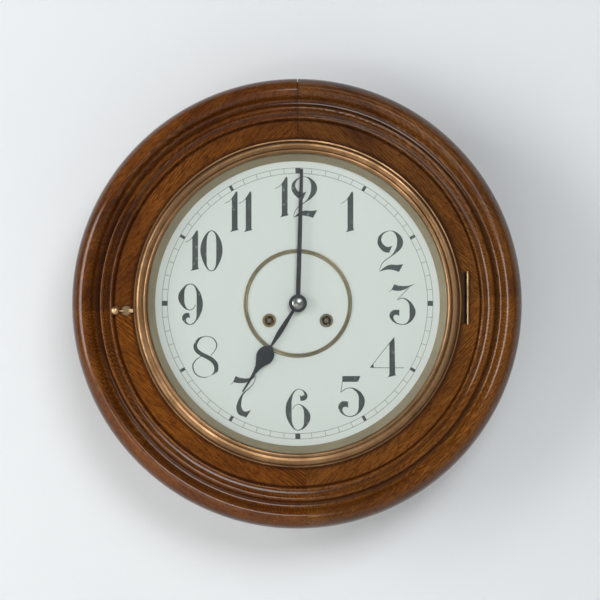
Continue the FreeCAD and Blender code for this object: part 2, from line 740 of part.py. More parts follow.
# ---------------------------------------------------------------------------- plates
PLATE = [
    (-size("plate_half"), -size("plate_bottom")),
    (size("plate_half"), -size("plate_bottom")),
    (size("plate_half"), size("plate_top")),
    (-size("plate_half"), size("plate_top")),
]
PIVOTS = [THIRD_AT, ESCAPE_AT, SECOND_AT, STOP_AT, FLY_AT]
pivot_holes = [(x, z, PIVOT + FIT) for x, z in PIVOTS]
pillar_holes = [(x, z, 2) for x, z in PILLARS]
WINDOWS = [
    [(-14, -22), (14, -22), (8, -50), (-8, -50)],
    [(20, 52), (46, 40), (50, 70), (20, 74)],
    [(-50, 52), (-18, 52), (-18, 74), (-50, 74)],
]
for label, y_back in (("movement_front_plate", Y_INSIDE), ("movement_back_plate", Y_BEHIND)):
    plate = new_body(label)
    front = label == "movement_front_plate"
    holes = pivot_holes + pillar_holes
    winding_hole = WINDING + FIT if front else 1.6 + FIT
    holes += [(TIME_AT[0], TIME_AT[1], winding_hole), (STRIKE_AT[0], STRIKE_AT[1], winding_hole)]
    holes += [(0, 0, ARBOR + FIT if front else PIVOT + FIT)]
    holes += [(VERGE_AT[0], VERGE_AT[1], PIVOT + FIT if front else 1.2 + FIT)]
    holes += [(HAMMER_AT[0], HAMMER_AT[1], PIVOT + FIT if front else 1.2 + FIT)]
    if front:
        holes += [(MINUTE_WHEEL_AT[0], MINUTE_WHEEL_AT[1], 1)]
    else:
        holes += [(x, z, 2) for x, z in POSTS]
        holes += [(x, VERGE_AT[1] + 17, 1) for x in (-5, 5)]
    slab(plate, "sheet", y_back, size("plate_wall"), PLATE, circles=holes)
    for number, window in enumerate(WINDOWS):
        slab(plate, f"window_{number}", y_back, size("plate_wall"), window, cut=True)

pillars = []
nuts = []
for x, z in PILLARS:
    x, z = x.value, z.value
    stem = rod(3.6, Y_INSIDE.value, Y_REAR.value, x, z)
    pillars.append(stem.fuse(rod(2, Y_PLATE.value - 3, Y_BEHIND.value + 3, x, z)).removeSplitter())
    for y_nut in (Y_PLATE.value - 2.4, Y_BEHIND.value):
        nuts.append((x, y_nut, z))
posts = []
for x, z in POSTS:
    stem = rod(5, Y_BEHIND.value, -size("board_wall").value, x, z)
    spigot = rod(2, Y_REAR.value - 3, Y_BEHIND.value, x, z)
    post = stem.fuse(spigot).removeSplitter().cut(wood_screw(x, 0, z, 3.6, 1.9, 28, inward=-1))
    posts.append(post)
    nuts.append((x, Y_REAR.value - 2.4, z))
hexagons = []
for x, y, z in nuts:
    turns = [math.radians(60 * corner) for corner in range(6)]
    corners = [(x + 4 * math.cos(turn), z + 4 * math.sin(turn)) for turn in turns]
    hexagons.append(flat_shape(corners, y, y + 2.4).cut(rod(2, y - 1, y + 4, x, z)))
keep("movement_pillars", Part.makeCompound(pillars))
keep("movement_posts", Part.makeCompound(posts))
keep("movement_nuts", Part.makeCompound(hexagons))

# ---------------------------------------------------------------------------- winding
RATCHET = 9
CLICK_REACH = 14.5


def winding_arbor():
    """Return a winding arbor: back pivot, barrel shaft, ratchet wheel and winding square."""
    shaft = rod(WINDING, Y_PLATE.value - 0.6, level(GAP - 0.4))
    pivot = rod(1.6, level(GAP - 1), Y_BEHIND.value + 0.6)
    square = block(-2.1, 2.1, Y_PLATE.value, Y_DIAL.value + 0.6, -2.1, 2.1)
    teeth = 20
    outline = []
    for tooth in range(teeth):
        for radius, share in ((RATCHET, 0.0), (RATCHET - 1.7, 0.12)):
            turn = 2 * math.pi * (tooth + share) / teeth
            outline.append((radius * math.cos(turn), radius * math.sin(turn)))
    return fuse_all([shaft, pivot, square, flat_shape(outline, level(4.2), level(6.2))])


def mainspring(turns, reach):
    """Return a coiled strip spring that starts just clear of the arbor."""
    steps = 14 * turns
    inner = []
    outer = []
    for step in range(steps + 1):
        share = step / steps
        turn = 2 * math.pi * turns * share
        radius = WINDING + 0.3 + (reach - WINDING - 0.3) * share
        inner.append((radius * math.cos(turn), radius * math.sin(turn)))
        outer.append(((radius + 0.55) * math.cos(turn), (radius + 0.55) * math.sin(turn)))
    strip = inner + outer[::-1]
    return flat_shape(strip, level(7.5), level(7.5 + size("spring_width").value))


def swung(points, turn):
    """Return (x, z) points turned clockwise, as seen from the front, about the middle."""
    angle = math.radians(-turn)
    return [
        (x * math.cos(angle) - z * math.sin(angle), x * math.sin(angle) + z * math.cos(angle))
        for x, z in points
    ]


def click(turn):
    """Return a click: an eye on its rivet and a pawl held just clear of the ratchet."""
    pawl = [(CLICK_REACH, -2.1), (CLICK_REACH, 2.1), (10, 6.4), (8.2, 5.1), (11.4, 1.2)]
    rivet_x, rivet_z = swung([(CLICK_REACH, 0)], turn)[0]
    eye = rod(2.2, level(4.2), level(6), rivet_x, rivet_z)
    piece = eye.fuse(flat_shape(swung(pawl, turn), level(4.2), level(6))).removeSplitter()
    return piece.cut(rod(1 + FIT.value, level(3), level(8), rivet_x, rivet_z))


def great_wheel(teeth, module, facing, click_turn):
    """Return a great wheel that runs on the winding arbor and carries its click's rivet."""
    disc = toothed_disc(teeth, module, T_GREAT, 1.8, facing, False, WINDING + FIT.value)
    outer = teeth * module / 2 - 4.2
    disc = disc.cut(crossings(CLICK_REACH + 4, outer, T_GREAT, 1.8))
    rivet_x, rivet_z = swung([(CLICK_REACH, 0)], click_turn)[0]
    stem = rod(1, level(3), level(6.9), rivet_x, rivet_z)
    return fuse_all([disc, stem, rod(1.8, level(6.3), level(6.9), rivet_x, rivet_z)])


keep("time_winding_arbor", winding_arbor(), TIME_AT[0], 0, TIME_AT[1])
keep("strike_winding_arbor", winding_arbor(), STRIKE_AT[0], 0, STRIKE_AT[1])
keep("time_mainspring", mainspring(7, 26), TIME_AT[0], 0, TIME_AT[1])
keep("strike_mainspring", mainspring(6, 23), STRIKE_AT[0], 0, STRIKE_AT[1])
time_module = TIME_MODULE.value
time_great = great_wheel(72, time_module, bearing(TIME_AT, CENTRE), 100)
strike_great = great_wheel(64, COARSE, bearing(STRIKE_AT, SECOND_AT), 100)
keep("time_great_wheel", time_great, TIME_AT[0], 0, TIME_AT[1])
keep("strike_great_wheel", strike_great, STRIKE_AT[0], 0, STRIKE_AT[1])
keep("time_click", click(100), TIME_AT[0], 0, TIME_AT[1])
keep("strike_click", click(100), STRIKE_AT[0], 0, STRIKE_AT[1])

# ---------------------------------------------------------------------------- going train
centre_wheel = arbor() + lantern(8, time_module, level(1), level(5), bearing(CENTRE, TIME_AT))
centre_disc = toothed_disc(80, MIDDLE, T_CENTRE, 1.2, bearing(CENTRE, THIRD_AT), False)
centre_wheel.append(centre_disc.cut(crossings(5, 18.5, T_CENTRE, 1.2)))
centre_wheel.append(rod(ARBOR, Y_DIAL.value - 8.6, level(2)))
keep("centre_wheel", fuse_all(centre_wheel))

third_wheel = arbor() + lantern(8, MIDDLE, T_CENTRE - 1, T_CENTRE + 2.2, bearing(THIRD_AT, CENTRE))
third_disc = toothed_disc(80, FINE, T_THIRD, 1.2, bearing(THIRD_AT, ESCAPE_AT), False)
third_wheel.append(third_disc.cut(crossings(4.5, 16.8, T_THIRD, 1.2)))
keep("third_wheel", fuse_all(third_wheel), THIRD_AT[0], 0, THIRD_AT[1])

escape_pinion = lantern(7, FINE, T_THIRD - 0.9, T_THIRD + 2.1, bearing(ESCAPE_AT, THIRD_AT))
escape_wheel = arbor(SLIM_ARBOR) + escape_pinion
saw = []
for tooth in range(36):
    for radius, share in ((ESCAPE_RADIUS, 0.0), (ESCAPE_RADIUS - 2, 0.2), (ESCAPE_RADIUS - 2, 0.75)):
        turn = 2 * math.pi * (tooth + share) / 36
        saw.append((radius * math.cos(turn), radius * math.sin(turn)))
escape_disc = flat_shape(saw, T_ESCAPE, T_ESCAPE + 1).cut(crossings(4, 9.2, T_ESCAPE, 1, spokes=4))
escape_wheel.append(escape_disc)
keep("escape_wheel", fuse_all(escape_wheel), ESCAPE_AT[0], 0, ESCAPE_AT[1])

# The verge: a strip anchor above the escape wheel and a crutch behind the back plate.
PALLET = ESCAPE_RADIUS + 1.1
drop = VERGE_AT[1].value - ESCAPE_AT[1].value
anchor = [(-2.2, 1.5), (2.2, 1.5)]
reach = PALLET / math.sqrt(2)
for side in (1, -1):
    inner = [(side * (reach + 2.2), reach - drop + 1.0), (side * reach, reach - drop)]
    anchor += inner + [(side * 2.0, -2.6)] if side > 0 else [(side * 2.0, -2.6)] + inner[::-1]
CRUTCH_LOW = -36
crutch_y = Y_BEHIND.value + 1.4
verge = [
    rod(2.4, T_ESCAPE - 0.8, T_ESCAPE + 1.8),
    rod(1.2, level(0.4), crutch_y + 1),
    rod(PIVOT, Y_PLATE.value, level(1)),
    flat_shape(anchor, T_ESCAPE - 0.5, T_ESCAPE + 1.5),
    wire_rod(0.9, Vec(0, crutch_y, 0), Vec(0, crutch_y, CRUTCH_LOW)),
    block(-3.4, 3.4, crutch_y - 0.9, crutch_y + 0.9, CRUTCH_LOW - 1, CRUTCH_LOW + 1),
]
for side in (-1, 1):
    inner, outer = side * 1.8, side * 3.4
    fork_end = Y_PENDULUM.value + 3
    verge.append(block(inner, outer, crutch_y, fork_end, CRUTCH_LOW - 1, CRUTCH_LOW + 1))
keep("verge", fuse_all(verge), VERGE_AT[0], 0, VERGE_AT[1])

cock_low = 1.5
cock_top = 9
cock = [
    block(-9, 9, Y_BEHIND.value, Y_BEHIND.value + 1.6, cock_low + 1, 22),
    block(-4, 4, Y_BEHIND.value, Y_PENDULUM.value + 5, cock_low + 2.5, cock_top),
]
slit = block(-0.7, 0.7, Y_PENDULUM.value - 4, Y_PENDULUM.value + 6, cock_low, cock_top + 1)
cock_holes = [rod(1, Y_REAR.value, Y_BEHIND.value + 4, x, 17) for x in (-5, 5)]
keep("suspension_cock", fuse_all(cock).cut([slit] + cock_holes), VERGE_AT[0], 0, VERGE_AT[1])
rivets = []
for x in (-5, 5):
    rivet = rod(1, Y_REAR.value, Y_BEHIND.value + 1.6, x, 17)
    head = rod(1.9, Y_BEHIND.value + 1.6, Y_BEHIND.value + 2.4, x, 17)
    rivets.append(rivet.fuse(head).removeSplitter())
keep("cock_rivets", Part.makeCompound(rivets), VERGE_AT[0], 0, VERGE_AT[1])

pendulum_y = Y_PENDULUM.value
BOB_DROP = VERGE_AT[1].value + INSIDE_FLAT.value - 39.4
spring_low = -8
strip = block(-0.15, 0.15, pendulum_y - 2.5, pendulum_y + 2.5, spring_low, cock_top + 1.5)
cross_pin = wire_rod(0.7, Vec(-3, pendulum_y, cock_top + 1.1), Vec(3, pendulum_y, cock_top + 1.1))
keep("suspension_spring", strip.fuse(cross_pin).removeSplitter(), VERGE_AT[0], 0, VERGE_AT[1])
bob_low = -BOB_DROP - size("bob_radius").value
pendulum = [
    block(-1.5, 1.5, pendulum_y - 2.5, pendulum_y + 2.5, spring_low - 7, spring_low + 1.6),
    Part.makeCylinder(1.5, -bob_low + spring_low + 6, Vec(0, pendulum_y, bob_low - 9), Vec(0, 0, 1)),
]
slot_for_strip = block(-0.15, 0.15, pendulum_y - 3, pendulum_y + 3, spring_low, spring_low + 3)
keep("pendulum_rod", fuse_all(pendulum).cut(slot_for_strip), VERGE_AT[0], 0, VERGE_AT[1])

pendulum_bob = new_body("pendulum_bob")
BOB = size("bob_radius")
lens = [(0, -6), (8, -6), (BOB, -1.2), (BOB, 1.2), (8, 6), (0, 6)]
revolve(pendulum_bob, "lens", lens, {1: (46, 1), 3: (46, 1)})
bore = new_sketch(pendulum_bob, "rod_bore_outline", "XY_Plane", offset=-40)
draw_circle(bore, 0, 0, 1.55)
bob_bore = pendulum_bob.newObject("PartDesign::Pocket", "rod_bore")
bob_bore.Profile = bore
bob_bore.Reversed = True
bob_bore.Length = 80
place(pendulum_bob, 0, Y_PENDULUM, VERGE_AT[1] - BOB_DROP)

nut_low = bob_low - 4.2
rating = Part.makeCylinder(5, 4, Vec(0, pendulum_y, nut_low), Vec(0, 0, 1))
rating = rating.makeFillet(0.6, [rating.Edges[0], rating.Edges[2]])
rating = rating.cut(Part.makeCylinder(1.5, 8, Vec(0, pendulum_y, nut_low - 2), Vec(0, 0, 1)))
keep("rating_nut", rating, VERGE_AT[0], 0, VERGE_AT[1])

# ---------------------------------------------------------------------------- motion work
face = Y_DIAL.value
front = Y_PLATE.value
cannon = [
    rod(2.6, face - 7.6, front - 0.4),
    toothed_disc(20, 0.6, front - 4, 3, bearing(CENTRE, MINUTE_WHEEL_AT), True, rich=True),
]
keep("cannon_pinion", fuse_all(cannon).cut(rod(ARBOR + FIT.value, face - 10, front + 1)))
minute_wheel = [
    toothed_disc(60, 0.6, front - 2.6, 1.2, bearing(MINUTE_WHEEL_AT, CENTRE), False, rich=True),
    toothed_disc(16, 0.6, front - 8, 5.6, bearing(MINUTE_WHEEL_AT, CENTRE), True, rich=True),
    rod(2.4, front - 8, front - 1.2),
]
crossed = fuse_all(minute_wheel).cut(crossings(7, 14, front - 2.6, 1.2, spokes=4))
bored = crossed.cut(rod(1 + FIT.value, front - 12, front + 2))
keep("minute_wheel", bored, MINUTE_WHEEL_AT[0], 0, MINUTE_WHEEL_AT[1])
stud = rod(1, front + 1.6, front - 9).fuse(rod(1.8, front - 8.4, front - 9.2)).removeSplitter()
keep("minute_wheel_stud", stud, MINUTE_WHEEL_AT[0], 0, MINUTE_WHEEL_AT[1])
hour_mesh = bearing(CENTRE, MINUTE_WHEEL_AT)
hour_disc = toothed_disc(64, 0.6, front - 6.6, 1.2, hour_mesh, False, rich=True)
hour_wheel = [hour_disc.cut(crossings(7, 15.5, front - 6.6, 1.2)), rod(4.4, face - 4.2, front - 5)]
keep("hour_wheel", fuse_all(hour_wheel).cut(rod(2.6 + FIT.value, face - 10, front + 1)))


def turned_outline(points, angle, scale):
    """Return an outline of (along, across) points laid along a clock angle."""
    laid = []
    for along, across in points:
        reach = along * scale
        right = reach * sine(angle) + across * cosine(angle)
        up = reach * cosine(angle) - across * sine(angle)
        laid.append((right, up))
    return laid


hour_hand = new_body("hour_hand")
side = [(6, 1.4), (36, 2.6), (52.5, 1.05), (63, 9), (73, 5.8), (88, 1.6), (109, 0.8)]
blade = side + [(along, -across) for along, across in reversed(side)]
spade = {2: (7.4, 1), 3: (12, 1), 4: (26, -1), 8: (26, -1), 9: (12, 1), 10: (7.4, 1)}
scale = size("hour_length") / 109
slab(hour_hand, "blade", Y_DIAL - 3.3, 0.8, turned_outline(blade, size("hour_angle"), scale), spade)
slab(hour_hand, "collar", Y_DIAL - 2.9, 1.3, circles=[(0, 0, 8)])
slab(hour_hand, "bore", Y_DIAL - 2, 3, circles=[(0, 0, 4.4)], cut=True)

minute_hand = new_body("minute_hand")
side = [(6, 2.2), (136.5, 2.1), (141, 0.2)]
blade = side + [(along, -across) for along, across in reversed(side)]
scale = size("minute_length") / 141
slab(minute_hand, "blade", Y_DIAL - 6.1, 0.8, turned_outline(blade, size("minute_angle"), scale))
boss = [
    (2.6, Y_DIAL - 5.2),
    (9.45, Y_DIAL - 5.2),
    (9.45, Y_DIAL - 6.4),
    (8, Y_DIAL - 7.6),
    (2.6, Y_DIAL - 7.6),
]
revolve(minute_hand, "boss", boss, {2: (1.9, -1)})

hand_nut = new_body("hand_nut")
nut = [
    (ARBOR + FIT, Y_DIAL - 7.6),
    (5.9, Y_DIAL - 7.6),
    (5.9, Y_DIAL - 8),
    (0, Y_DIAL - 9.6),
    (0, Y_DIAL - 8.9),
    (ARBOR + FIT, Y_DIAL - 8.9),
]
revolve(hand_nut, "dome", nut, {2: (12, -1)})

# ---------------------------------------------------------------------------- striking train
strike_second = arbor() + lantern(8, COARSE, level(1), level(5), bearing(SECOND_AT, STRIKE_AT))
second_disc = toothed_disc(72, 0.6, T_SECOND, 1.2, bearing(SECOND_AT, STOP_AT), False)
strike_second.append(second_disc.cut(crossings(5, 18, T_SECOND, 1.2)))
keep("strike_second_wheel", fuse_all(strike_second), SECOND_AT[0], 0, SECOND_AT[1])

strike_stop = arbor() + lantern(8, 0.6, T_SECOND - 1, T_SECOND + 2.2, bearing(STOP_AT, SECOND_AT))
stop_disc = toothed_disc(60, FINE, T_STOP, 1.2, bearing(STOP_AT, FLY_AT), False)
strike_stop.append(stop_disc.cut(crossings(4, 11.8, T_STOP, 1.2, spokes=4)))
keep("strike_third_wheel", fuse_all(strike_stop), STOP_AT[0], 0, STOP_AT[1])

fly = arbor(SLIM_ARBOR) + lantern(7, FINE, T_STOP - 1, T_STOP + 2.2, bearing(FLY_AT, STOP_AT))
fly.append(block(-10, 10, level(16), level(26), -0.3, 0.3))
fly.append(rod(2.2, level(16), level(26)))
keep("strike_fly", fuse_all(fly), FLY_AT[0], 0, FLY_AT[1])

GONG = size("gong_radius")
GONG_AT = (-(size("drum_flat") * 0.4), -(size("drum_flat") * 0.54))
WIRE = 1.25
gong_y = -size("board_wall").value - 5
head_x = GONG_AT[0].value + GONG.value + WIRE + 0.7 - HAMMER_AT[0].value
head_z = GONG_AT[1].value - HAMMER_AT[1].value
hammer = [
    rod(1.2, level(0.4), gong_y + 1.2),
    rod(PIVOT, Y_PLATE.value, level(1)),
    wire_rod(1.1, Vec(0, gong_y, 0), Vec(head_x + 5, gong_y, head_z)),
    Part.makeCylinder(4, 12, Vec(head_x, gong_y, head_z), Vec(1, 0, 0)),
]
keep("strike_hammer", fuse_all(hammer), HAMMER_AT[0], 0, HAMMER_AT[1])


def gong_coil():
    """Return the round wire of the gong, wound as a flat spiral with a foot in the block."""
    points = []
    turns = 4
    inner = 9
    for step in range(turns * 16 + 1):
        share = step / (turns * 16)
        radius = inner + (GONG.value - inner) * share
        turn = 2 * math.pi * turns * share
        points.append(Vec(radius * math.cos(turn), gong_y, radius * math.sin(turn)))
    curve = Part.BSplineCurve()
    curve.interpolate(points)
    spine = Part.Wire([curve.toShape()])
    tangent = curve.tangent(curve.FirstParameter)[0]
    ring = Part.Wire([Part.makeCircle(WIRE, points[0], tangent)])
    return spine.makePipeShell([ring], True, True)


keep("gong", gong_coil(), GONG_AT[0], 0, GONG_AT[1])
gong_block = block(-7, 10.2, -size("board_wall").value, gong_y - 2.4, -6, 6)
keep("gong_block", gong_block.cut(gong_coil()), GONG_AT[0], 0, GONG_AT[1])

# ---------------------------------------------------------------------------- finish
doc.recompute()
for item in doc.Objects:
    if "Invalid" in item.State or "Error" in item.State:
        raise RuntimeError(f"{item.Name} did not build")
for part in PARTS:
    if part.Shape.isNull() or not part.Shape.isValid():
        raise RuntimeError(f"{part.Label} has no sound shape")
    part.Shape.exportStep(f"parts/{part.Label}.step")
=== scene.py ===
"""Looks of a round oak and brass wall clock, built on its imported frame.

Metres, +Z up, the dial faces -Y, the wall is the plane y = 0 and the origin lies on the
dial's axis.  A clock angle is counted clockwise from twelve, as seen from the front.
"""
import json
import logging
import math
from dataclasses import dataclass, field
from enum import Enum
from typing import Optional, Sequence

import bmesh
import bpy
import numpy as np
from mathutils import Matrix, Vector


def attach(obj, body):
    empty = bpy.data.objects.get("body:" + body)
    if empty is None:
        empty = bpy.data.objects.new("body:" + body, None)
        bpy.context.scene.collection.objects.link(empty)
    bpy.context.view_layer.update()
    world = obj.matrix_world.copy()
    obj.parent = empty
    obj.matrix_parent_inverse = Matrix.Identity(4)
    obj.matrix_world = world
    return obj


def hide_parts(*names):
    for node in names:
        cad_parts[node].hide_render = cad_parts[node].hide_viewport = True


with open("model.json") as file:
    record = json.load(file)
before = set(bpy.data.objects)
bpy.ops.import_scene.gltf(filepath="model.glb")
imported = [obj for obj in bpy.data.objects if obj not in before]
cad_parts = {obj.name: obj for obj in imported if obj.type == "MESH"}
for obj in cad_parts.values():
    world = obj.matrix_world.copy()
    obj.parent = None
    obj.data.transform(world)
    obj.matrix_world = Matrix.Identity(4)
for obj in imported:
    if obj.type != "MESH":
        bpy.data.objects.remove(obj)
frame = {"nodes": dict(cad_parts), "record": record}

LOG = logging.getLogger("wall_clock")
MM = 0.001
Colour = tuple[float, float, float]
Point = tuple[float, float]
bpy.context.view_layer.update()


# ------------------------------------------------------------------ meshes
class Body(Enum):
    """The moving bodies that new pieces ride on."""

    CASE = "case"
    BEZEL = "bezel"
    MINUTE = "minute"
    HOUR = "hour"
    LATCH = "latch"


@dataclass
class Patch:
    """One closed shell: its vertices in metres and its faces as rows of vertex numbers."""

    vertices: np.ndarray
    faces: list[list[int]]


def grid_faces(rows: int, columns: int, wrap_rows: bool, wrap_columns: bool) -> np.ndarray:
    """Return the quads of a rows x columns grid of points.

    Args:
        rows: number of points along the first parameter.
        columns: number of points along the second parameter.
        wrap_rows: whether the last row joins the first.
        wrap_columns: whether the last column joins the first.

    Returns:
        An array of four vertex numbers per face.
    """
    i = np.arange(rows if wrap_rows else rows - 1)[:, None]
    j = np.arange(columns if wrap_columns else columns - 1)[None, :]
    following_i = (i + 1) % rows
    following_j = (j + 1) % columns
    corners = [i * columns + j, following_i * columns + j]
    corners += [following_i * columns + following_j, i * columns + following_j]
    return np.stack([np.broadcast_to(c, (i.size, j.size)).ravel() for c in corners], axis=1)


def section(
    points: Sequence[Point], arcs: Optional[dict[int, tuple[float, int]]] = None
) -> np.ndarray:
    """Return a closed outline, in metres, with some of its edges bent to arcs.

    An arc of radius R over a chord of length d has its centre sqrt(R*R - d*d/4) from the
    chord's middle; its points turn evenly about that centre from one end to the other.

    Args:
        points: the corners, in millimetres.
        arcs: for an edge's number, its radius in millimetres and 1 where it swells out of
            the outline or -1 where it is hollowed into it.

    Returns:
        The outline's points, one row each.
    """
    corners = np.array(points, float)
    following = np.roll(corners, -1, axis=0)
    area = np.sum(corners[:, 0] * following[:, 1] - following[:, 0] * corners[:, 1])
    turn = math.copysign(1, area)
    pieces = []
    for number, (start, stop) in enumerate(zip(corners, following)):
        if number not in (arcs or {}):
            pieces.append(start[None])
            continue
        radius, swell = arcs[number]
        chord = stop - start
        length = np.hypot(*chord)
        outward = turn * np.array([chord[1], -chord[0]]) / length
        height = math.sqrt(max(radius**2 - length**2 / 4, 0))
        centre = (start + stop) / 2 - swell * height * outward
        first = math.atan2(*(start - centre)[::-1])
        sweep = (math.atan2(*(stop - centre)[::-1]) - first + math.pi) % (2 * math.pi) - math.pi
        steps = max(6, int(abs(sweep) / math.radians(9)))
        angles = first + sweep * np.arange(steps) / steps
        pieces.append(centre + radius * np.stack([np.cos(angles), np.sin(angles)], axis=1))
    return np.concatenate(pieces) * MM


def eased(outline: np.ndarray, corner: Point, reach: float) -> np.ndarray:
    """Return the outline with one corner eased into a curve.

    Between the last point a and the first point b that lie further than reach from the
    corner c, the line becomes (1 - t)**2 a + 2 t (1 - t) c + t**2 b.

    Args:
        outline: the closed outline, in metres.
        corner: the corner, in millimetres.
        reach: how far the curve reaches to each side, in millimetres.

    Returns:
        The new outline.
    """
    middle = np.array(corner) * MM
    first = int(np.argmin(np.hypot(*(outline - middle).T)))
    line = np.roll(outline, -first, axis=0)
    kept = line[np.hypot(*(line - middle).T) > reach * MM]
    t = np.linspace(0, 1, 11)[1:-1, None]
    curve = (1 - t) ** 2 * kept[-1] + 2 * t * (1 - t) * middle + t**2 * kept[0]
    return np.concatenate([kept, curve])


def turned(outline: np.ndarray, start: float = 0, stop: float = 360, steps: int = 256) -> Patch:
    """Return a section of (radius, y) points carried round the dial's axis.

    A point (r, y) at clock angle a lies at (r sin a, y, r cos a).

    Args:
        outline: the closed section, in metres.
        start: first clock angle in degrees.
        stop: last clock angle in degrees.
        steps: number of steps round.

    Returns:
        The closed shell, with flat ends where it doesn't go right round.
    """
    whole = stop - start >= 360
    count = steps if whole else steps + 1
    angles = np.radians(start + (stop - start) * np.arange(count) / steps)[:, None]
    radius, level = outline[:, 0][None], outline[:, 1][None]
    grid = np.stack([radius * np.sin(angles), level + 0 * angles, radius * np.cos(angles)], axis=2)
    faces = grid_faces(count, len(outline), whole, True).tolist()
    if not whole:
        faces.append(list(range(len(outline))))
        faces.append(list(range((count - 1) * len(outline), count * len(outline)))[::-1])
    return Patch(grid.reshape(-1, 3), faces)


def knob(
    profile: np.ndarray, centre: Sequence[float], axis: Sequence[float], steps: int = 48
) -> Patch:
    """Return a shape turned about any axis from (radius, height) points, pole to pole.

    A point (r, h) at angle a lies at centre + h w + r (u cos a + v sin a), where w is the
    axis and u, v are two directions square to it.

    Args:
        profile: (radius, height) points in metres; the first and last radius are zero.
        centre: where height zero lies, in metres.
        axis: the direction of growing height.
        steps: number of steps round.

    Returns:
        The closed shell with one vertex at each pole.
    """
    w = np.array(axis, float) / np.linalg.norm(axis)
    u = np.cross(w, (0.0, 0.0, 1.0) if abs(w[2]) < 0.9 else (1.0, 0.0, 0.0))
    u /= np.linalg.norm(u)
    v = np.cross(w, u)
    angles = 2 * np.pi * np.arange(steps) / steps
    ring = np.cos(angles)[None, :, None] * u + np.sin(angles)[None, :, None] * v
    middle = profile[1:-1]
    grid = np.array(centre) + middle[:, 1][:, None, None] * w + middle[:, 0][:, None, None] * ring
    poles = np.array(centre) + np.outer([profile[0, 1], profile[-1, 1]], w)
    vertices = np.concatenate([grid.reshape(-1, 3), poles])
    faces = grid_faces(len(middle), steps, False, True).tolist()
    last = (len(middle) - 1) * steps
    around = np.arange(steps)
    following = (around + 1) % steps
    first_pole = np.full(steps, len(vertices) - 2)
    last_pole = np.full(steps, len(vertices) - 1)
    faces += np.stack([first_pole, following, around], axis=1).tolist()
    faces += np.stack([last_pole, last + around, last + following], axis=1).tolist()
    return Patch(vertices, faces)


def tube(path: np.ndarray, radii: np.ndarray, steps: int = 24) -> Patch:
    """Return a round bar along a path, with a radius for each of its points.

    Each ring lies square to the path's direction there, in the two directions that are
    left when the direction is taken out of +Y.

    Args:
        path: the middle line's points, in metres.
        radii: the radius at each point, in metres.
        steps: number of steps round.

    Returns:
        The closed shell with flat ends.
    """
    along = np.gradient(path, axis=0)
    along /= np.linalg.norm(along, axis=1)[:, None]
    side = np.cross(along, (0.0, 1.0, 0.0))
    side /= np.linalg.norm(side, axis=1)[:, None]
    up = np.cross(side, along)
    angles = 2 * np.pi * np.arange(steps) / steps
    cosine, sine = np.cos(angles)[None, :, None], np.sin(angles)[None, :, None]
    ring = cosine * side[:, None] + sine * up[:, None]
    grid = path[:, None] + radii[:, None, None] * ring
    faces = grid_faces(len(path), steps, False, True).tolist()
    faces.append(list(range(steps)))
    faces.append(list(range((len(path) - 1) * steps, len(path) * steps))[::-1])
    return Patch(grid.reshape(-1, 3), faces)


def smooth_line(points: Sequence[Point], steps: int = 8) -> np.ndarray:
    """Return a Catmull-Rom curve through the points, with steps points for each span."""
    knots = np.array(points, float)
    padded = np.concatenate([2 * knots[:1] - knots[1:2], knots, 2 * knots[-1:] - knots[-2:-1]])
    t = (np.arange(steps) / steps)[None, :, None]
    a, b, c, d = (padded[k : k + len(knots) - 1][:, None] for k in range(4))
    square, cube = 2 * a - 5 * b + 4 * c - d, 3 * b - a - 3 * c + d
    curve = 0.5 * (2 * b + (c - a) * t + square * t**2 + cube * t**3)
    return np.concatenate([curve.reshape(-1, knots.shape[1]), knots[-1:]])


def blade(
    left: np.ndarray, right: np.ndarray, front: float, back: float, crown: float = 0
) -> Patch:
    """Return a flat or crowned plate between two edges seen from the front.

    The point at (s, t) of the front lies at (1 - t) left(s) + t right(s), and it stands
    crown (1 - (2 t - 1)**2) in front of the plate's front level.

    Args:
        left: the (x, z) points of one edge, in metres.
        right: as many points of the other edge.
        front: y of the front at its edges.
        back: y of the back.
        crown: how far the middle stands proud.

    Returns:
        The closed shell.
    """
    shares = np.linspace(0, 1, 7 if crown else 2)[None, :, None]
    flat = (1 - shares) * left[:, None] + shares * right[:, None]
    swell = crown * (1 - (2 * shares[..., 0] - 1) ** 2) * np.ones((len(left), 1))
    face = np.stack([flat[..., 0], front - swell, flat[..., 1]], axis=2)
    rear = np.stack([flat[:, ::-1, 0], np.full(flat.shape[:2], back), flat[:, ::-1, 1]], axis=2)
    grid = np.concatenate([face, rear], axis=1)
    faces = grid_faces(len(left), grid.shape[1], False, True).tolist()
    faces.append(list(range(grid.shape[1])))
    faces.append(list(range((len(left) - 1) * grid.shape[1], len(left) * grid.shape[1]))[::-1])
    return Patch(grid.reshape(-1, 3), faces)


def prism(outline: np.ndarray, front: float, back: float) -> Patch:
    """Return a plate of any (x, z) outline in metres between two levels of y."""
    count = len(outline)
    levels = [np.insert(outline, 1, level, axis=1) for level in (front, back)]
    faces = grid_faces(2, count, False, True).tolist()
    faces += [list(range(count)), list(range(count, 2 * count))[::-1]]
    return Patch(np.concatenate(levels), faces)


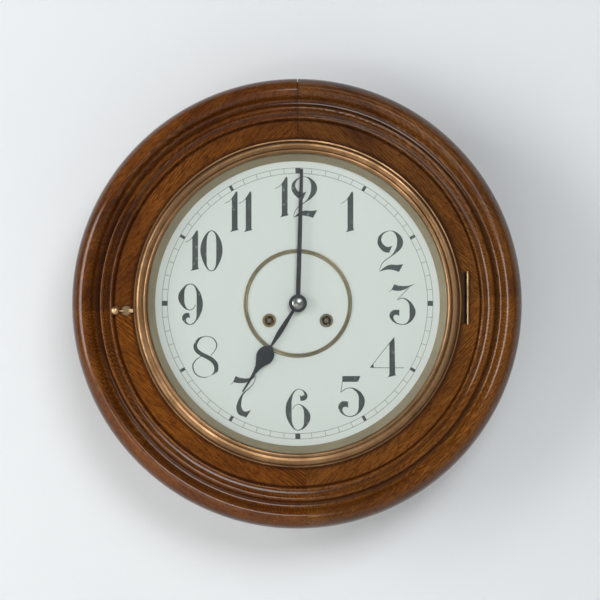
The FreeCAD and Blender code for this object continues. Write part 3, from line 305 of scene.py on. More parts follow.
@dataclass
class Piece:
    """What a new piece is called, what it rides on and stands for, and its finish."""

    name: str
    rides_on: Body
    slot: str
    material: bpy.types.Material
    stands_for: tuple[str, ...] = ()
    crease: float = 32
    bevel: float = 0

    @property
    def body(self) -> str:
        """Return the name of the body that the piece rides on."""
        return self.rides_on.value

    def build(self, patches: Sequence[Patch]) -> bpy.types.Object:
        """Join the shells into one mesh, face them outwards, and put the piece on its body.

        Args:
            patches: the shells of the piece.

        Returns:
            The new object.
        """
        vertices = np.concatenate([patch.vertices for patch in patches])
        faces: list[list[int]] = []
        offset = 0
        for patch in patches:
            faces += [[number + offset for number in face] for face in patch.faces]
            offset += len(patch.vertices)
        mesh = bpy.data.meshes.new(self.name)
        mesh.from_pydata(vertices.tolist(), [], faces)
        shell = bmesh.new()
        shell.from_mesh(mesh)
        bmesh.ops.recalc_face_normals(shell, faces=shell.faces)
        shell.to_mesh(mesh)
        shell.free()
        mesh.update()
        mesh.polygons.foreach_set("use_smooth", np.ones(len(mesh.polygons), bool))
        piece = bpy.data.objects.new(self.name, mesh)
        bpy.context.scene.collection.objects.link(piece)
        if self.bevel:
            edge = piece.modifiers.new("edge", "BEVEL")
            edge.width = self.bevel
            edge.segments = 2
            edge.limit_method = "ANGLE"
            edge.angle_limit = math.radians(50)
            edge.harden_normals = False
        mesh.set_sharp_from_angle(angle=math.radians(self.crease))
        mesh.materials.append(self.material)
        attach(piece, self.body)
        if self.stands_for:
            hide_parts(*self.stands_for)
        LOG.info("%s: %d faces on %s", self.name, len(mesh.polygons), self.body)
        return piece


# ------------------------------------------------------------------ finishes
class Nodes:
    """A small helper that adds and links the nodes of one material."""

    def __init__(self, name: str) -> None:
        """Start a material of that name with an empty node tree."""
        self.material = bpy.data.materials.new(name)
        self.material.use_nodes = True
        self.tree = self.material.node_tree
        self.tree.nodes.clear()
        self.output = self.tree.nodes.new("ShaderNodeOutputMaterial")

    def add(self, kind: str, inputs: Optional[dict] = None, **settings) -> bpy.types.Node:
        """Add a node, set its settings, and set or link its inputs.

        Args:
            kind: the node's type without the ShaderNode prefix.
            inputs: socket name or number to a plain value or an output socket.
            **settings: the node's own properties.

        Returns:
            The node.
        """
        node = self.tree.nodes.new("ShaderNode" + kind)
        for key, value in settings.items():
            setattr(node, key, value)
        for key, value in (inputs or {}).items():
            if isinstance(value, bpy.types.NodeSocket):
                self.tree.links.new(value, node.inputs[key])
            else:
                node.inputs[key].default_value = value
        return node

    def math(self, operation: str, a, b=0.0) -> bpy.types.NodeSocket:
        """Return the output of a Math node."""
        return self.add("Math", {0: a, 1: b}, operation=operation).outputs[0]

    def mix(self, share, a, b) -> bpy.types.NodeSocket:
        """Return the colour a mixed with the colour b by share."""
        node = self.add("Mix", data_type="RGBA")
        for key, value in ((0, share), (6, a), (7, b)):
            if isinstance(value, bpy.types.NodeSocket):
                self.tree.links.new(value, node.inputs[key])
            elif key:
                node.inputs[key].default_value = (*value, 1)
            else:
                node.inputs[key].default_value = value
        return node.outputs[2]

    def noise(self, vector, scale: float, detail: float = 3, rough: float = 0.55) -> bpy.types.NodeSocket:
        """Return the value of a noise texture."""
        sockets = {"Vector": vector, "Scale": scale, "Detail": detail, "Roughness": rough}
        return self.add("TexNoise", sockets).outputs["Fac"]

    def span(self, value, low: float, high: float, to_low: float = 0, to_high: float = 1):
        """Return value carried from low..high to to_low..to_high and held between them."""
        sockets = {"Value": value, 1: low, 2: high, 3: to_low, 4: to_high}
        return self.add("MapRange", sockets, clamp=True).outputs[0]

    def place(self, scale: Sequence[float], turn: Sequence[float] = (0, 0, 0), shift=(0, 0, 0)):
        """Return Object coordinates, turned and then stretched."""
        here = self.add("TexCoord").outputs["Object"]
        if any(turn) or any(shift):
            here = self.add("Mapping", {"Vector": here, "Rotation": turn, "Location": shift}).outputs[0]
        return self.add("Mapping", {"Vector": here, "Scale": scale}).outputs[0]

    def polar(self, around: float, out: float) -> bpy.types.NodeSocket:
        """Return (clock angle x around, radius x out, y x out) about the dial's axis."""
        x, y, z = self.split()
        squares = self.math("ADD", self.math("MULTIPLY", x, x), self.math("MULTIPLY", z, z))
        parts = ((self.math("ARCTAN2", x, z), around), (self.math("SQRT", squares), out), (y, out))
        scaled = {number: self.math("MULTIPLY", *part) for number, part in enumerate(parts)}
        return self.add("CombineXYZ", scaled).outputs[0]

    def bump(self, height, strength: float, distance: float) -> bpy.types.NodeSocket:
        """Return the normal of a bumped surface."""
        return self.add("Bump", {"Height": height, "Strength": strength, "Distance": distance}).outputs[0]

    def split(self) -> Sequence[bpy.types.NodeSocket]:
        """Return x, y and z of the Object coordinates."""
        return self.add("SeparateXYZ", {0: self.add("TexCoord").outputs["Object"]}).outputs

    def finish(self, inputs: dict) -> bpy.types.Material:
        """End the material in one Principled shader and return it."""
        shader = self.add("BsdfPrincipled", inputs)
        self.tree.links.new(shader.outputs[0], self.output.inputs[0])
        return self.material


@dataclass(frozen=True)
class Oak:
    """Stained and varnished oak, its grain along one direction of the front view."""

    name: str
    dark: Colour
    middle: Colour
    light: Colour
    grain_turn: float = 0
    along_depth: bool = False
    gloss: float = 0.5
    roughness: float = 0.34
    offset: float = 0
    # painted shade: (radius, reach, depth) bands, in millimetres from the dial's axis, darkened towards
    # the pore colour
    shade_bands: tuple[tuple[float, float, float], ...] = ()

    def material(self) -> bpy.types.Material:
        """Return the wood: growth rings, pores and rays under a coat of varnish."""
        n = Nodes(self.name)
        turn = (0, math.radians(self.grain_turn), 0)
        if self.along_depth:
            turn = (0, 0, math.radians(90))
        shift = (self.offset, self.offset * 0.37, self.offset * 0.61)
        wobble = n.noise(n.place((3.2, 11, 11), turn, shift), 1.0, 3, 0.5)
        plank = n.add("SeparateXYZ", {0: n.place((1, 1, 1), turn, shift)}).outputs
        across = n.math("ADD", n.math("MULTIPLY", plank[2], 2900.0), n.math("MULTIPLY", plank[1], 1700.0))
        rings = n.math("ADD", across, n.math("MULTIPLY", wobble, 150.0))
        years = n.span(n.math("SINE", rings), -0.2, 1.0)
        band = n.noise(n.place((5, 48, 48), turn, shift), 1.0, 4, 0.6)
        fleck = n.noise(n.place((110, 620, 620), turn, shift), 1.0, 3, 0.65)
        pores = n.noise(n.place((210, 1500, 1500), turn, shift), 1.0, 2, 0.5)
        pores = n.span(pores, 0.56, 0.66)
        tone = n.noise(n.place((9, 9, 9), turn, shift), 1.0, 2, 0.5)
        colour = n.mix(n.span(band, 0.32, 0.68), self.dark, self.middle)
        colour = n.mix(n.span(tone, 0.38, 0.66, 0.0, 0.7), colour, self.middle)
        colour = n.mix(n.math("MULTIPLY", years, n.span(tone, 0.4, 0.62, 0.08, 0.5)), colour, self.light)
        colour = n.mix(n.span(fleck, 0.42, 0.66, 0, 0.75), colour, self.dark)
        # the dark colour of the pores, also used below for the painted shade bands
        pore_and_shade_colour = tuple(0.3 * c for c in self.dark)
        colour = n.mix(n.math("MULTIPLY", pores, 0.65), colour, pore_and_shade_colour)
        # painted shade: darken the wood towards the pore colour in bands round the dial's axis
        radius = n.add("SeparateXYZ", {0: n.polar(0, 1000)}).outputs[1] if self.shade_bands else None
        for middle, reach, depth in self.shade_bands:
            off = n.math("ABSOLUTE", n.math("SUBTRACT", radius, middle))
            colour = n.mix(n.span(off, 0.3 * reach, reach, depth, 0), colour, pore_and_shade_colour)
        height = n.math("SUBTRACT", n.math("MULTIPLY", fleck, 0.5), n.math("MULTIPLY", pores, 0.5))
        patchy = n.noise(n.place((30, 30, 30)), 1.0, 3, 0.5)
        rough = n.span(patchy, 0.35, 0.7, self.roughness - 0.06, self.roughness + 0.1)
        normal = n.bump(height, 0.25, 0.0004)
        ripple = n.math("ADD", n.math("MULTIPLY", fleck, 0.5), n.math("MULTIPLY", patchy, 0.6))
        return n.finish({
            "Base Color": colour,
            "Roughness": rough,
            "Normal": normal,
            "Specular IOR Level": 0.0,
            "Coat Weight": self.gloss,
            "Coat Roughness": 0.15,
            "Coat IOR": 1.43,
            "Coat Normal": n.bump(ripple, 0.08, 0.0004),
        })


@dataclass(frozen=True)
class SpunMetal:
    """Sheet metal spun round the dial's axis, with fine rings and dull, stained places."""

    name: str
    bright: Colour
    stain: Colour
    roughness: float = 0.28
    staining: float = 0.5
    metallic: float = 1.0
    rings: float = 0.15

    def material(self) -> bpy.types.Material:
        """Return the metal: rings in the roughness and the surface, stains in the colour."""
        n = Nodes(self.name)
        ring = n.noise(n.polar(1.2, 2600), 1.0, 2, 0.6)
        cloud = n.noise(n.place((26, 26, 26)), 1.0, 4, 0.6)
        speck = n.noise(n.place((420, 420, 420)), 1.0, 3, 0.6)
        spotted = n.math("ADD", cloud, n.math("MULTIPLY", speck, 0.25))
        blotch = n.span(spotted, 0.5, 0.76, 0, self.staining)
        colour = n.mix(blotch, self.bright, self.stain)
        colour = n.mix(n.span(ring, 0.4, 0.75, 0, 0.25), colour, self.stain)
        dull = n.span(cloud, 0.35, 0.7, self.roughness, self.roughness + 0.14)
        rough = n.math("ADD", n.span(ring, 0.3, 0.7, -0.05, 0.06), dull)
        height = n.math("ADD", n.math("MULTIPLY", ring, 0.6), n.math("MULTIPLY", speck, 0.3))
        normal = n.bump(height, self.rings, 0.0003)
        return n.finish({
            "Base Color": colour,
            "Metallic": self.metallic,
            "Roughness": rough,
            "Normal": normal,
        })


@dataclass(frozen=True)
class Metal:
    """Plain worked metal: rolled sheet, wire, screws and clockwork."""

    name: str
    bright: Colour
    stain: Colour
    roughness: float = 0.3
    brushed: bool = False
    staining: float = 0.4

    def material(self) -> bpy.types.Material:
        """Return the metal: brush marks or a fine mottle, and stains in the colour."""
        n = Nodes(self.name)
        mark = n.noise(n.place((60, 500, 2400) if self.brushed else (700, 700, 700)), 1.0, 3, 0.6)
        cloud = n.noise(n.place((60, 60, 60)), 1.0, 4, 0.6)
        colour = n.mix(n.span(cloud, 0.45, 0.72, 0, self.staining), self.bright, self.stain)
        rough = n.span(mark, 0.3, 0.7, self.roughness - 0.06, self.roughness + 0.1)
        return n.finish({
            "Base Color": colour,
            "Metallic": 1.0,
            "Roughness": rough,
            "Normal": n.bump(mark, 0.08, 0.0003),
        })


@dataclass(frozen=True)
class HingeBrass:
    """A hinge whose barrel is rubbed bright brass and whose leaves go near black: painted shade of the
    dark slot they lie in.
    """

    name: str
    axis: Point = (0.1785, -0.092)
    barrel: float = 0.0018

    def material(self) -> bpy.types.Material:
        """Return brass that darkens away from the barrel's axis."""
        n = Nodes(self.name)
        split = n.split()
        aside = n.math("POWER", n.math("SUBTRACT", split[0], self.axis[0]), 2.0)
        ahead = n.math("POWER", n.math("SUBTRACT", split[1], self.axis[1]), 2.0)
        away = n.math("SQRT", n.math("ADD", aside, ahead))
        mottle = n.noise(n.place((300, 300, 160)), 1.0, 3, 0.6)
        # painted shade: away from the barrel the leaves turn near black and lose their metal
        slot_shade = n.span(away, self.barrel, self.barrel + 0.0005)
        colour = n.mix(n.span(mottle, 0.45, 0.7), (0.48, 0.29, 0.14), (0.20, 0.12, 0.055))
        # painted shade: brown towards the bezel, black towards the barrel
        slot_shade_colour = n.mix(n.span(split[0], 0.1742, 0.1752), (0.060, 0.026, 0.008), (0.006, 0.004, 0.003))
        colour = n.mix(slot_shade, colour, slot_shade_colour)
        return n.finish({
            "Base Color": colour,
            "Metallic": n.math("SUBTRACT", 1.0, n.math("MULTIPLY", slot_shade, 0.9)),
            "Roughness": n.span(mottle, 0.3, 0.7, 0.3, 0.45),
            "Specular IOR Level": 0.1,
            "Normal": n.bump(mottle, 0.1, 0.0003),
        })


@dataclass(frozen=True)
class PairedMetal:
    """Metal that is one colour left of the dial's middle and another right of it."""

    name: str
    left: Colour
    right: Colour
    stain: Colour
    roughness: float = 0.4

    def material(self) -> bpy.types.Material:
        """Return the metal: stained brass on one side, greyed on the other."""
        n = Nodes(self.name)
        here = n.split()
        cloud = n.noise(n.place((260, 260, 260)), 1.0, 3, 0.6)
        colour = n.mix(n.span(here[0], -0.001, 0.001), self.left, self.right)
        colour = n.mix(n.span(cloud, 0.42, 0.68, 0, 0.7), colour, self.stain)
        return n.finish({
            "Base Color": colour,
            "Metallic": 0.85,
            "Roughness": n.span(cloud, 0.3, 0.7, self.roughness, self.roughness + 0.15),
            "Normal": n.bump(cloud, 0.1, 0.0003),
        })


@dataclass(frozen=True)
class Paint:
    """Paint or ink: an even coat, faintly mottled, worn through in places if asked."""

    name: str
    colour: Colour
    aged: Colour
    roughness: float = 0.5
    under: Colour = (0.3, 0.3, 0.29)
    wear: float = 0
    ageing: float = 0.4

    def material(self) -> bpy.types.Material:
        """Return the paint: clouds of age, a slight orange peel and small worn chips."""
        n = Nodes(self.name)
        cloud = n.noise(n.place((13, 13, 13)), 1.0, 4, 0.55)
        grain = n.noise(n.place((900, 900, 900)), 1.0, 2, 0.5)
        colour = n.mix(n.span(cloud, 0.38, 0.7, 0, self.ageing), self.colour, self.aged)
        colour = n.mix(n.span(grain, 0.4, 0.8, 0, 0.1), colour, self.aged)
        if self.wear:
            chip = n.noise(n.place((330, 330, 190)), 1.0, 4, 0.7)
            colour = n.mix(n.span(chip, 0.66 - self.wear, 0.7, 0, 0.85), colour, self.under)
        rough = n.span(cloud, 0.35, 0.7, self.roughness - 0.04, self.roughness + 0.08)
        return n.finish({
            "Base Color": colour,
            "Roughness": rough,
            "Normal": n.bump(grain, 0.05, 0.0003),
        })


@dataclass(frozen=True)
class Pane:
    """Clear window glass with a soft film of dust."""

    name: str

    def material(self) -> bpy.types.Material:
        """Return clear glass: seen straight through, mirror-like at a slant."""
        n = Nodes(self.name)
        dust = n.noise(n.place((18, 18, 18)), 1.0, 4, 0.6)
        clear = n.add("BsdfTransparent", {"Color": (0.985, 0.992, 0.988, 1)}).outputs[0]
        film = n.span(dust, 0.3, 0.7, 0.02, 0.06)
        gloss = n.add("BsdfGlossy", {"Color": (1, 1, 1, 1), "Roughness": film})
        share = n.math("MULTIPLY", n.add("Fresnel", {"IOR": 1.5}).outputs[0], 0.55)
        mixed = n.add("MixShader", {0: share, 1: clear, 2: gloss.outputs[0]})
        n.tree.links.new(mixed.outputs[0], n.output.inputs[0])
        return n.material


class Finish:
    """Every finish of the clock, made once and handed out by slot name."""

    def __init__(self) -> None:
        """Make the materials for the record's slots and for the extra pieces."""
        red = ((0.042, 0.010, 0.0015), (0.13, 0.042, 0.007), (0.24, 0.09, 0.017))
        drum = ((0.028, 0.008, 0.002), (0.085, 0.028, 0.007), (0.15, 0.055, 0.014))
        brass = ((0.37, 0.212, 0.105), (0.115, 0.062, 0.025))
        board = ((0.16, 0.085, 0.035), (0.30, 0.17, 0.075), (0.42, 0.27, 0.13))
        sight = ((0.47, 0.395, 0.275), (0.33, 0.275, 0.185))
        eyelet = ((0.30, 0.21, 0.12), (0.24, 0.24, 0.20), (0.13, 0.11, 0.08))
        finishes = (
            Oak("oak_rim", *red),
            Oak("oak_drum", *drum, along_depth=True, gloss=0.25, roughness=0.42),
            Oak("board", *board, 90, gloss=0.0, roughness=0.62),
            Paint("dial_white", (0.775, 0.815, 0.785), (0.74, 0.775, 0.72), 0.42),
            SpunMetal("bezel_brass", *brass, 0.32, 0.6),
            SpunMetal("sight_brass", *sight, 0.46, 0.35, 0.75),
            SpunMetal("ring_brass", (0.40, 0.345, 0.22), (0.22, 0.195, 0.14), 0.38, 0.8),
            PairedMetal("eyelet_brass", *eyelet),
            Pane("pane"),
            Paint("hand_black", (0.030, 0.033, 0.040), (0.055, 0.06, 0.07), 0.38),
            Metal("nickel", (0.40, 0.40, 0.39), (0.26, 0.26, 0.25), 0.26, staining=0.8),
            Metal("plate_brass", (0.70, 0.50, 0.22), (0.36, 0.24, 0.10), 0.32, True),
            Metal("steel", (0.50, 0.50, 0.49), (0.26, 0.25, 0.23), 0.3),
            Metal("spring_steel", (0.10, 0.13, 0.20), (0.07, 0.07, 0.08), 0.3),
            Metal("hanger_steel", (0.42, 0.41, 0.39), (0.18, 0.13, 0.09), 0.42, True, 0.7),
            Metal("screw_steel", (0.46, 0.44, 0.40), (0.2, 0.16, 0.12), 0.38),
            Metal("iron", (0.12, 0.12, 0.125), (0.08, 0.05, 0.035), 0.5),
        )
        self.slots: dict[str, bpy.types.Material] = {
            each.name: each.material() for each in finishes
        }
        self.hinge = HingeBrass("hinge_brass").material()
        self.latch = Metal("latch_brass", (0.72, 0.50, 0.25), (0.40, 0.25, 0.12), 0.42).material()
        steel = ((0.26, 0.24, 0.21), (0.08, 0.07, 0.06))
        self.dull_steel = Metal("dull_steel", *steel, 0.42, staining=0.8).material()
        rust = ((0.30, 0.21, 0.11), (0.10, 0.065, 0.035))
        self.dull_latch = Metal("dull_latch", *rust, 0.45, staining=0.7).material()
        ink = ((0.052, 0.062, 0.062), (0.10, 0.115, 0.115))
        self.ink = Paint("ink", *ink, 0.5, (0.4, 0.43, 0.41), 0.06, 0.6).material()
        self.fine_ink = Paint("fine_ink", (0.14, 0.155, 0.15), (0.2, 0.22, 0.21), 0.55).material()
        black = ((0.032, 0.035, 0.041), (0.055, 0.06, 0.066))
        self.worn_black = Paint("worn_black", *black, 0.36, (0.22, 0.22, 0.21), 0.03).material()

    def dress_frame(self) -> None:
        """Give every carried-over node the finish of its slot."""
        for part in frame["record"]["subparts"]:
            node = frame["nodes"][part["node"]]
            finish = self.slots[part["material_slot"]]
            if not node.material_slots:
                node.data.materials.append(finish)
            if part["node"].startswith("hinge"):
                finish = self.hinge
            elif part["node"].endswith("winding_arbor"):
                finish = self.dull_steel
            elif part["node"] in ("latch_washer", "latch_screw"):
                finish = self.dull_latch
            for place in node.material_slots:
                place.material = finish


# ------------------------------------------------------------------ wooden case
@dataclass
class Case:
    """The turned rim in four oak segments and the eight-sided drum behind it."""

    finish: Finish
    radius: float = 236
    joints: tuple[float, ...] = (0, 88.4, 177.4, 267.9, 360)
    names: tuple[str, ...] = (
        "rim_top_right", "rim_bottom_right", "rim_bottom_left", "rim_top_left",
    )
    mortised: int = 2
    joint_radius: float = 200
    joint_gap: float = 0.2
    open_gap: float = 0.75
    filler_share: float = 0.92
    drum_flat: float = 186
    wall: float = 14
    drum_front: float = -69.98
    drum_back: float = -8.02
    half_side: float = 22.5
    half_stave: float = 22.42
    # painted shade: darker bands at the coves and grooves, on the field next to the bezel and at the
    # outer edge
    shade_bands: tuple[tuple[float, float, float], ...] = (
        (208.8, 4.0, 0.6), (198.4, 2.0, 0.5), (191.9, 1.8, 0.75), (172.0, 4.0, 0.6),
        (236.0, 8.0, 0.5),
    )

    def section(self) -> np.ndarray:
        """Return the rim's turned section: torus, cove, bead, ogee and flat field."""
        rim = self.radius
        points = [
            (155, -70), (rim - 3, -70), (rim, -75), (rim, -80), (rim - 11, -104),
            (rim - 21.5, -95), (rim - 29, -93.5), (rim - 33, -95.5), (rim - 39.5, -91),
            (rim - 42.3, -91), (rim - 43.2, -89.4), (rim - 44.5, -90.3), (164, -89.7),
            (164, -85.3), (155, -85.3),
        ]
        arcs = {3: (24, 1), 4: (9.5, 1), 5: (4.6, -1), 6: (2.7, 1), 7: (8, -1), 8: (1.5, 1)}
        return eased(section(points, arcs), (rim - 11, -104), 4.2)

    def build_rim(self) -> None:
        """Build the four segments, each of its own plank with a hairline joint between."""
        tones = (
            ((0.048, 0.0125, 0.0016), (0.165, 0.056, 0.009), (0.33, 0.132, 0.026)),
            ((0.056, 0.0145, 0.0020), (0.180, 0.060, 0.009), (0.36, 0.140, 0.024)),
            ((0.054, 0.0110, 0.0012), (0.180, 0.053, 0.005), (0.36, 0.122, 0.013)),
            ((0.050, 0.0110, 0.0014), (0.172, 0.052, 0.007), (0.34, 0.125, 0.018)),
        )
        outline = self.section()
        half = math.degrees(self.joint_gap / 2 / self.joint_radius)
        open_joint = math.degrees(self.open_gap / self.joint_radius)
        for number, name in enumerate(self.names):
            start, stop = self.joints[number : number + 2]
            oak = Oak(f"oak_{name}", *tones[number], grain_turn=-(start + stop) / 2, gloss=0.85,
                      offset=0.31 * (number + 1), shade_bands=self.shade_bands)
            if number < self.mortised:
                frame["nodes"][name].material_slots[0].material = oak.material()
                continue
            wood = turned(outline, start + half, stop - (open_joint if stop == 360 else half), 96)
            Piece(name + "_turning", Body.CASE, "oak_rim", oak.material(), (name,)).build([wood])
        # a filler in the open joint at twelve: old glue, its near-black colour painted shade inside the
        # gap
        middle = (outline.min(axis=0) + outline.max(axis=0)) / 2
        adhesive_and_shade = turned(middle + self.filler_share * (outline - middle), 360 - 0.95 * open_joint,
                      360 - 0.05 * open_joint, 1)
        finish = Paint("old_adhesive_and_gap_shade", (0.005, 0.003, 0.002), (0.008, 0.005, 0.003), 0.9).material()
        Piece("rim_joint_adhesive_and_shade", Body.CASE, "oak_rim", finish).build([adhesive_and_shade])

    def build_drum(self) -> None:
        """Build eight bevelled staves whose grain runs from front to back."""
        corner = math.cos(math.radians(self.half_side))
        reach = (self.drum_flat / corner, (self.drum_flat - self.wall) / corner)
        staves = []
        for side in range(8):
            middle = 2 * self.half_side * side
            turns = np.radians([middle - self.half_stave, middle + self.half_stave])
            ray = np.stack([np.sin(turns), np.cos(turns)], axis=1)
            outline = np.concatenate([reach[0] * ray, reach[1] * ray[::-1]]) * MM
            staves.append(prism(outline, self.drum_front * MM, self.drum_back * MM))
        Piece("drum", Body.CASE, "oak_drum", self.finish.slots["oak_drum"], ("drum_staves",),
              bevel=0.0006).build(staves)

    def build(self) -> None:
        """Build the whole case."""
        self.build_rim()
        self.build_drum()


# ------------------------------------------------------------------ dial
@dataclass
class Stroke:
    """One pen stroke between two edges, in drawing units right and down from a corner."""

    left: list[Point]
    right: list[Point]
    curved: bool = True


def hair(points: list[Point], width: float = 0.55) -> Stroke:
    """Return a thin curved stroke of even width along the points."""
    line = np.array(points, float)
    along = np.gradient(line, axis=0)
    along /= np.hypot(along[:, 0], along[:, 1])[:, None]
    side = np.stack([-along[:, 1], along[:, 0]], axis=1) * width / 2
    return Stroke((line + side).tolist(), (line - side).tolist())


ONE = [
    Stroke([(12.0, 3.8), (10.4, 6.6), (8.0, 10.2), (8.0, 40.6), (7.7, 42.4), (6.2, 44.3)],
           [(13.4, 3.7), (13.75, 6.6), (13.75, 10.2), (13.75, 40.2), (14.0, 41.2), (15.0, 42.1)], False),
    Stroke([(8.6, 9.0), (7.9, 10.4), (6.9, 11.6)], [(8.8, 12.2), (8.2, 11.6), (7.0, 11.7)], False),
    hair([(8.2, 10.4), (6.2, 12.6), (3.8, 14.4), (1.2, 15.5)], 0.5),
]
TWO = [
    Stroke(
        [(14, 26.8), (9, 26), (5, 22.5), (2.3, 17.5), (3, 11.5), (6.5, 7.5), (11, 5.2), (16, 4.6),
         (21, 6), (26, 10.5), (28, 16), (26.5, 21.5), (22, 26.5), (16.5, 30.4), (10, 34.9),
         (6.3, 39.2), (4.6, 44.5)],
        [(17, 19.8), (13, 21), (9.5, 19.7), (6.4, 15.8), (6.2, 11.8), (8.3, 8.1), (11.5, 5.9),
         (15.8, 5.1), (19.5, 7.2), (21.6, 11.5), (21.9, 16), (21.2, 21), (19.2, 25.4),
         (15.8, 29.7), (9.5, 34.3), (5.8, 38.9), (4.1, 44.5)]),
    Stroke([(4.2, 45.5), (8, 42.2), (12, 39.7), (16.5, 38.6), (21.5, 39), (28, 38.2)],
           [(4.3, 45.8), (8.4, 44.4), (12, 43.7), (16, 43.9), (20, 44.7), (23.8, 46)]),
]
THREE = [
    Stroke([(7, 4.3), (10, 5.4), (15, 6.1), (21, 5.9), (27.2, 4)],
           [(4.2, 9.9), (8, 10.8), (12.5, 10.9), (18, 9.4), (27.2, 4.4)]),
    hair([(5.2, 8.8), (3.6, 10.6), (1.6, 11.8)], 0.5),
    hair([(21.5, 8.2), (15.5, 14.2), (10.2, 19.6)]),
    Stroke(
        [(10, 19.9), (14.5, 18), (19, 18.8), (24, 22.5), (27.5, 28), (28.5, 32), (27.5, 36.5),
         (24.5, 41), (20, 44.2), (15, 45), (9, 43.8), (4.6, 40.7), (2.2, 36.5), (3.2, 32.5),
         (6.8, 30.1), (12.2, 30)],
        [(10.2, 20.4), (14.7, 18.7), (18.5, 20), (21.6, 23.6), (22.3, 28), (22.3, 32),
         (22.3, 36.5), (21.3, 40.5), (18.8, 43.4), (15, 44.3), (10, 43), (7.1, 40.2), (6.1, 37.5),
         (7, 35.6), (9.2, 34.9), (11.9, 36.1)]),
]
FOUR = [
    Stroke([(33.9, 7.0), (29.1, 13.1), (29.1, 44.4), (28.6, 46.0), (27.2, 47.6)],
           [(34.0, 7.0), (34.4, 13.1), (34.9, 43.8), (35.1, 44.6), (36.0, 45.4)], False),
    hair([(30.6, 11.6), (20.2, 24.6), (10.0, 37.6)]),
    Stroke([(9.3, 37.9), (11.2, 36.4), (12.9, 34.2)], [(9.3, 38.0), (11.6, 37.8), (13.6, 37.7)], False),
    hair([(12.0, 37.9), (27.0, 38.0), (43.6, 38.0)]),
]
FIVE = [
    Stroke([(6, 4.2), (24, 4.2)], [(5.8, 10), (21.8, 10)], False),
    hair([(5.9, 9.8), (5.2, 14.8), (4.5, 20)]),
    Stroke(
        [(4.5, 19.9), (9, 16.8), (14, 15.8), (18.5, 16.5), (24, 20), (27.5, 25), (28.4, 29),
         (27.8, 33.5), (25.5, 38), (22, 41.8), (17.5, 44.4), (12.5, 45), (7.2, 43.2), (3.5, 39.7),
         (1.8, 35.5), (3.4, 31.2), (7, 29.2), (11.6, 29.7)],
        [(4.7, 20.5), (9.2, 17.5), (13.7, 16.5), (17.5, 17.9), (21, 21.5), (22.3, 25), (22.4, 29),
         (22.3, 33.5), (22, 37.5), (20.5, 41), (17, 43.5), (12.5, 44.2), (8.6, 42.6), (6.3, 39.5),
         (6.2, 36.8), (7.5, 35.3), (9.5, 34.9), (11.7, 35.9)]),
]
SIX = [
    Stroke(
        [(17.2, 17), (20.2, 16.7), (23, 15), (24.1, 12), (22.6, 8.5), (19, 5.8), (15, 4.9),
         (11, 6.7), (7.5, 11), (4, 17), (2.4, 22.5), (2.2, 27), (3, 32.5), (5.2, 38), (8.5, 43),
         (12, 46), (15, 46.7)],
        [(16.3, 11), (17.6, 12.2), (19.3, 11.9), (20.5, 10.2), (20.1, 8.1), (18, 6.2), (15, 5.5),
         (12, 7.3), (9.6, 11.2), (8.3, 17), (8.2, 22.5), (8.2, 27), (8.3, 32.5), (8.5, 37.5),
         (10.1, 42.3), (12.4, 45.2), (15, 46)]),
    Stroke(
        [(8.9, 25), (11, 21.8), (15, 20.2), (19, 21.3), (23.6, 25.2), (26.4, 29.5), (27, 33),
         (26.2, 37.2), (23.5, 41.7), (19.6, 45.2), (15, 46.7)],
        [(9.4, 25.3), (11.4, 22.3), (15, 20.8), (17.9, 22), (20, 25.5), (20.5, 29.5), (20.6, 33),
         (20.5, 37.2), (20.2, 41), (18.2, 44.3), (15, 46)]),
]
SEVEN = [
    Stroke([(4.3, 0), (8.3, 1.7), (14.8, 2.5), (20.6, 1.3), (25, -0.9)],
           [(1.6, 6.3), (8.0, 7.2), (14.4, 6.7), (20.0, 3.9), (25, -0.4)]),
    hair([(2.4, 5.2), (1.2, 7.2), (-0.6, 8.4)], 0.5),
    Stroke(
        [(24.4, 0.4), (22.2, 6.6), (18.3, 11.4), (13.4, 15.2), (9.6, 19.5), (6.5, 25.6), (5, 32),
         (7.4, 38.3), (14.8, 41.7)],
        [(24.9, 0.6), (22.8, 6.9), (18.8, 12.0), (14.4, 15.9), (11.6, 20), (10.1, 25.6),
         (10.2, 31.4), (13.4, 35.5), (19.6, 34.2)]),
]
EIGHT = [
    Stroke(
        [(13.5, -0.1), (6.5, 2.0), (2.2, 7.2), (1.3, 11.5), (3.3, 16.1), (8, 19.9), (13.5, 22.7),
         (18.7, 26), (21.7, 30.6), (21.6, 35.6), (18.4, 39.5), (13.2, 41.2)],
        [(13.5, 0.5), (8.4, 2.9), (5.3, 7.8), (4.9, 10.6), (6.2, 13.3), (9.8, 16.2), (15.4, 19),
         (20.9, 22), (25, 26.4), (26.1, 31), (24.4, 36.6), (13.4, 41.9)]),
    Stroke([(13.5, -0.1), (20.5, 1.6), (24.4, 6.4), (24.8, 10.8), (22.4, 15.6), (18.6, 19.8)],
           [(13.5, 0.5), (19.9, 2.3), (23.3, 6.8), (23.7, 10.8), (21.9, 15.0), (18.2, 19.3)]),
    Stroke([(8.6, 20.2), (3.7, 23.4), (0.5, 28), (0.2, 32), (2.3, 37.4), (7, 41), (13.3, 41.9)],
           [(9.0, 20.7), (4.4, 24.0), (1.6, 28.4), (1.4, 32), (3.3, 36.8), (7.6, 40.2), (13.3, 41.2)]),
]
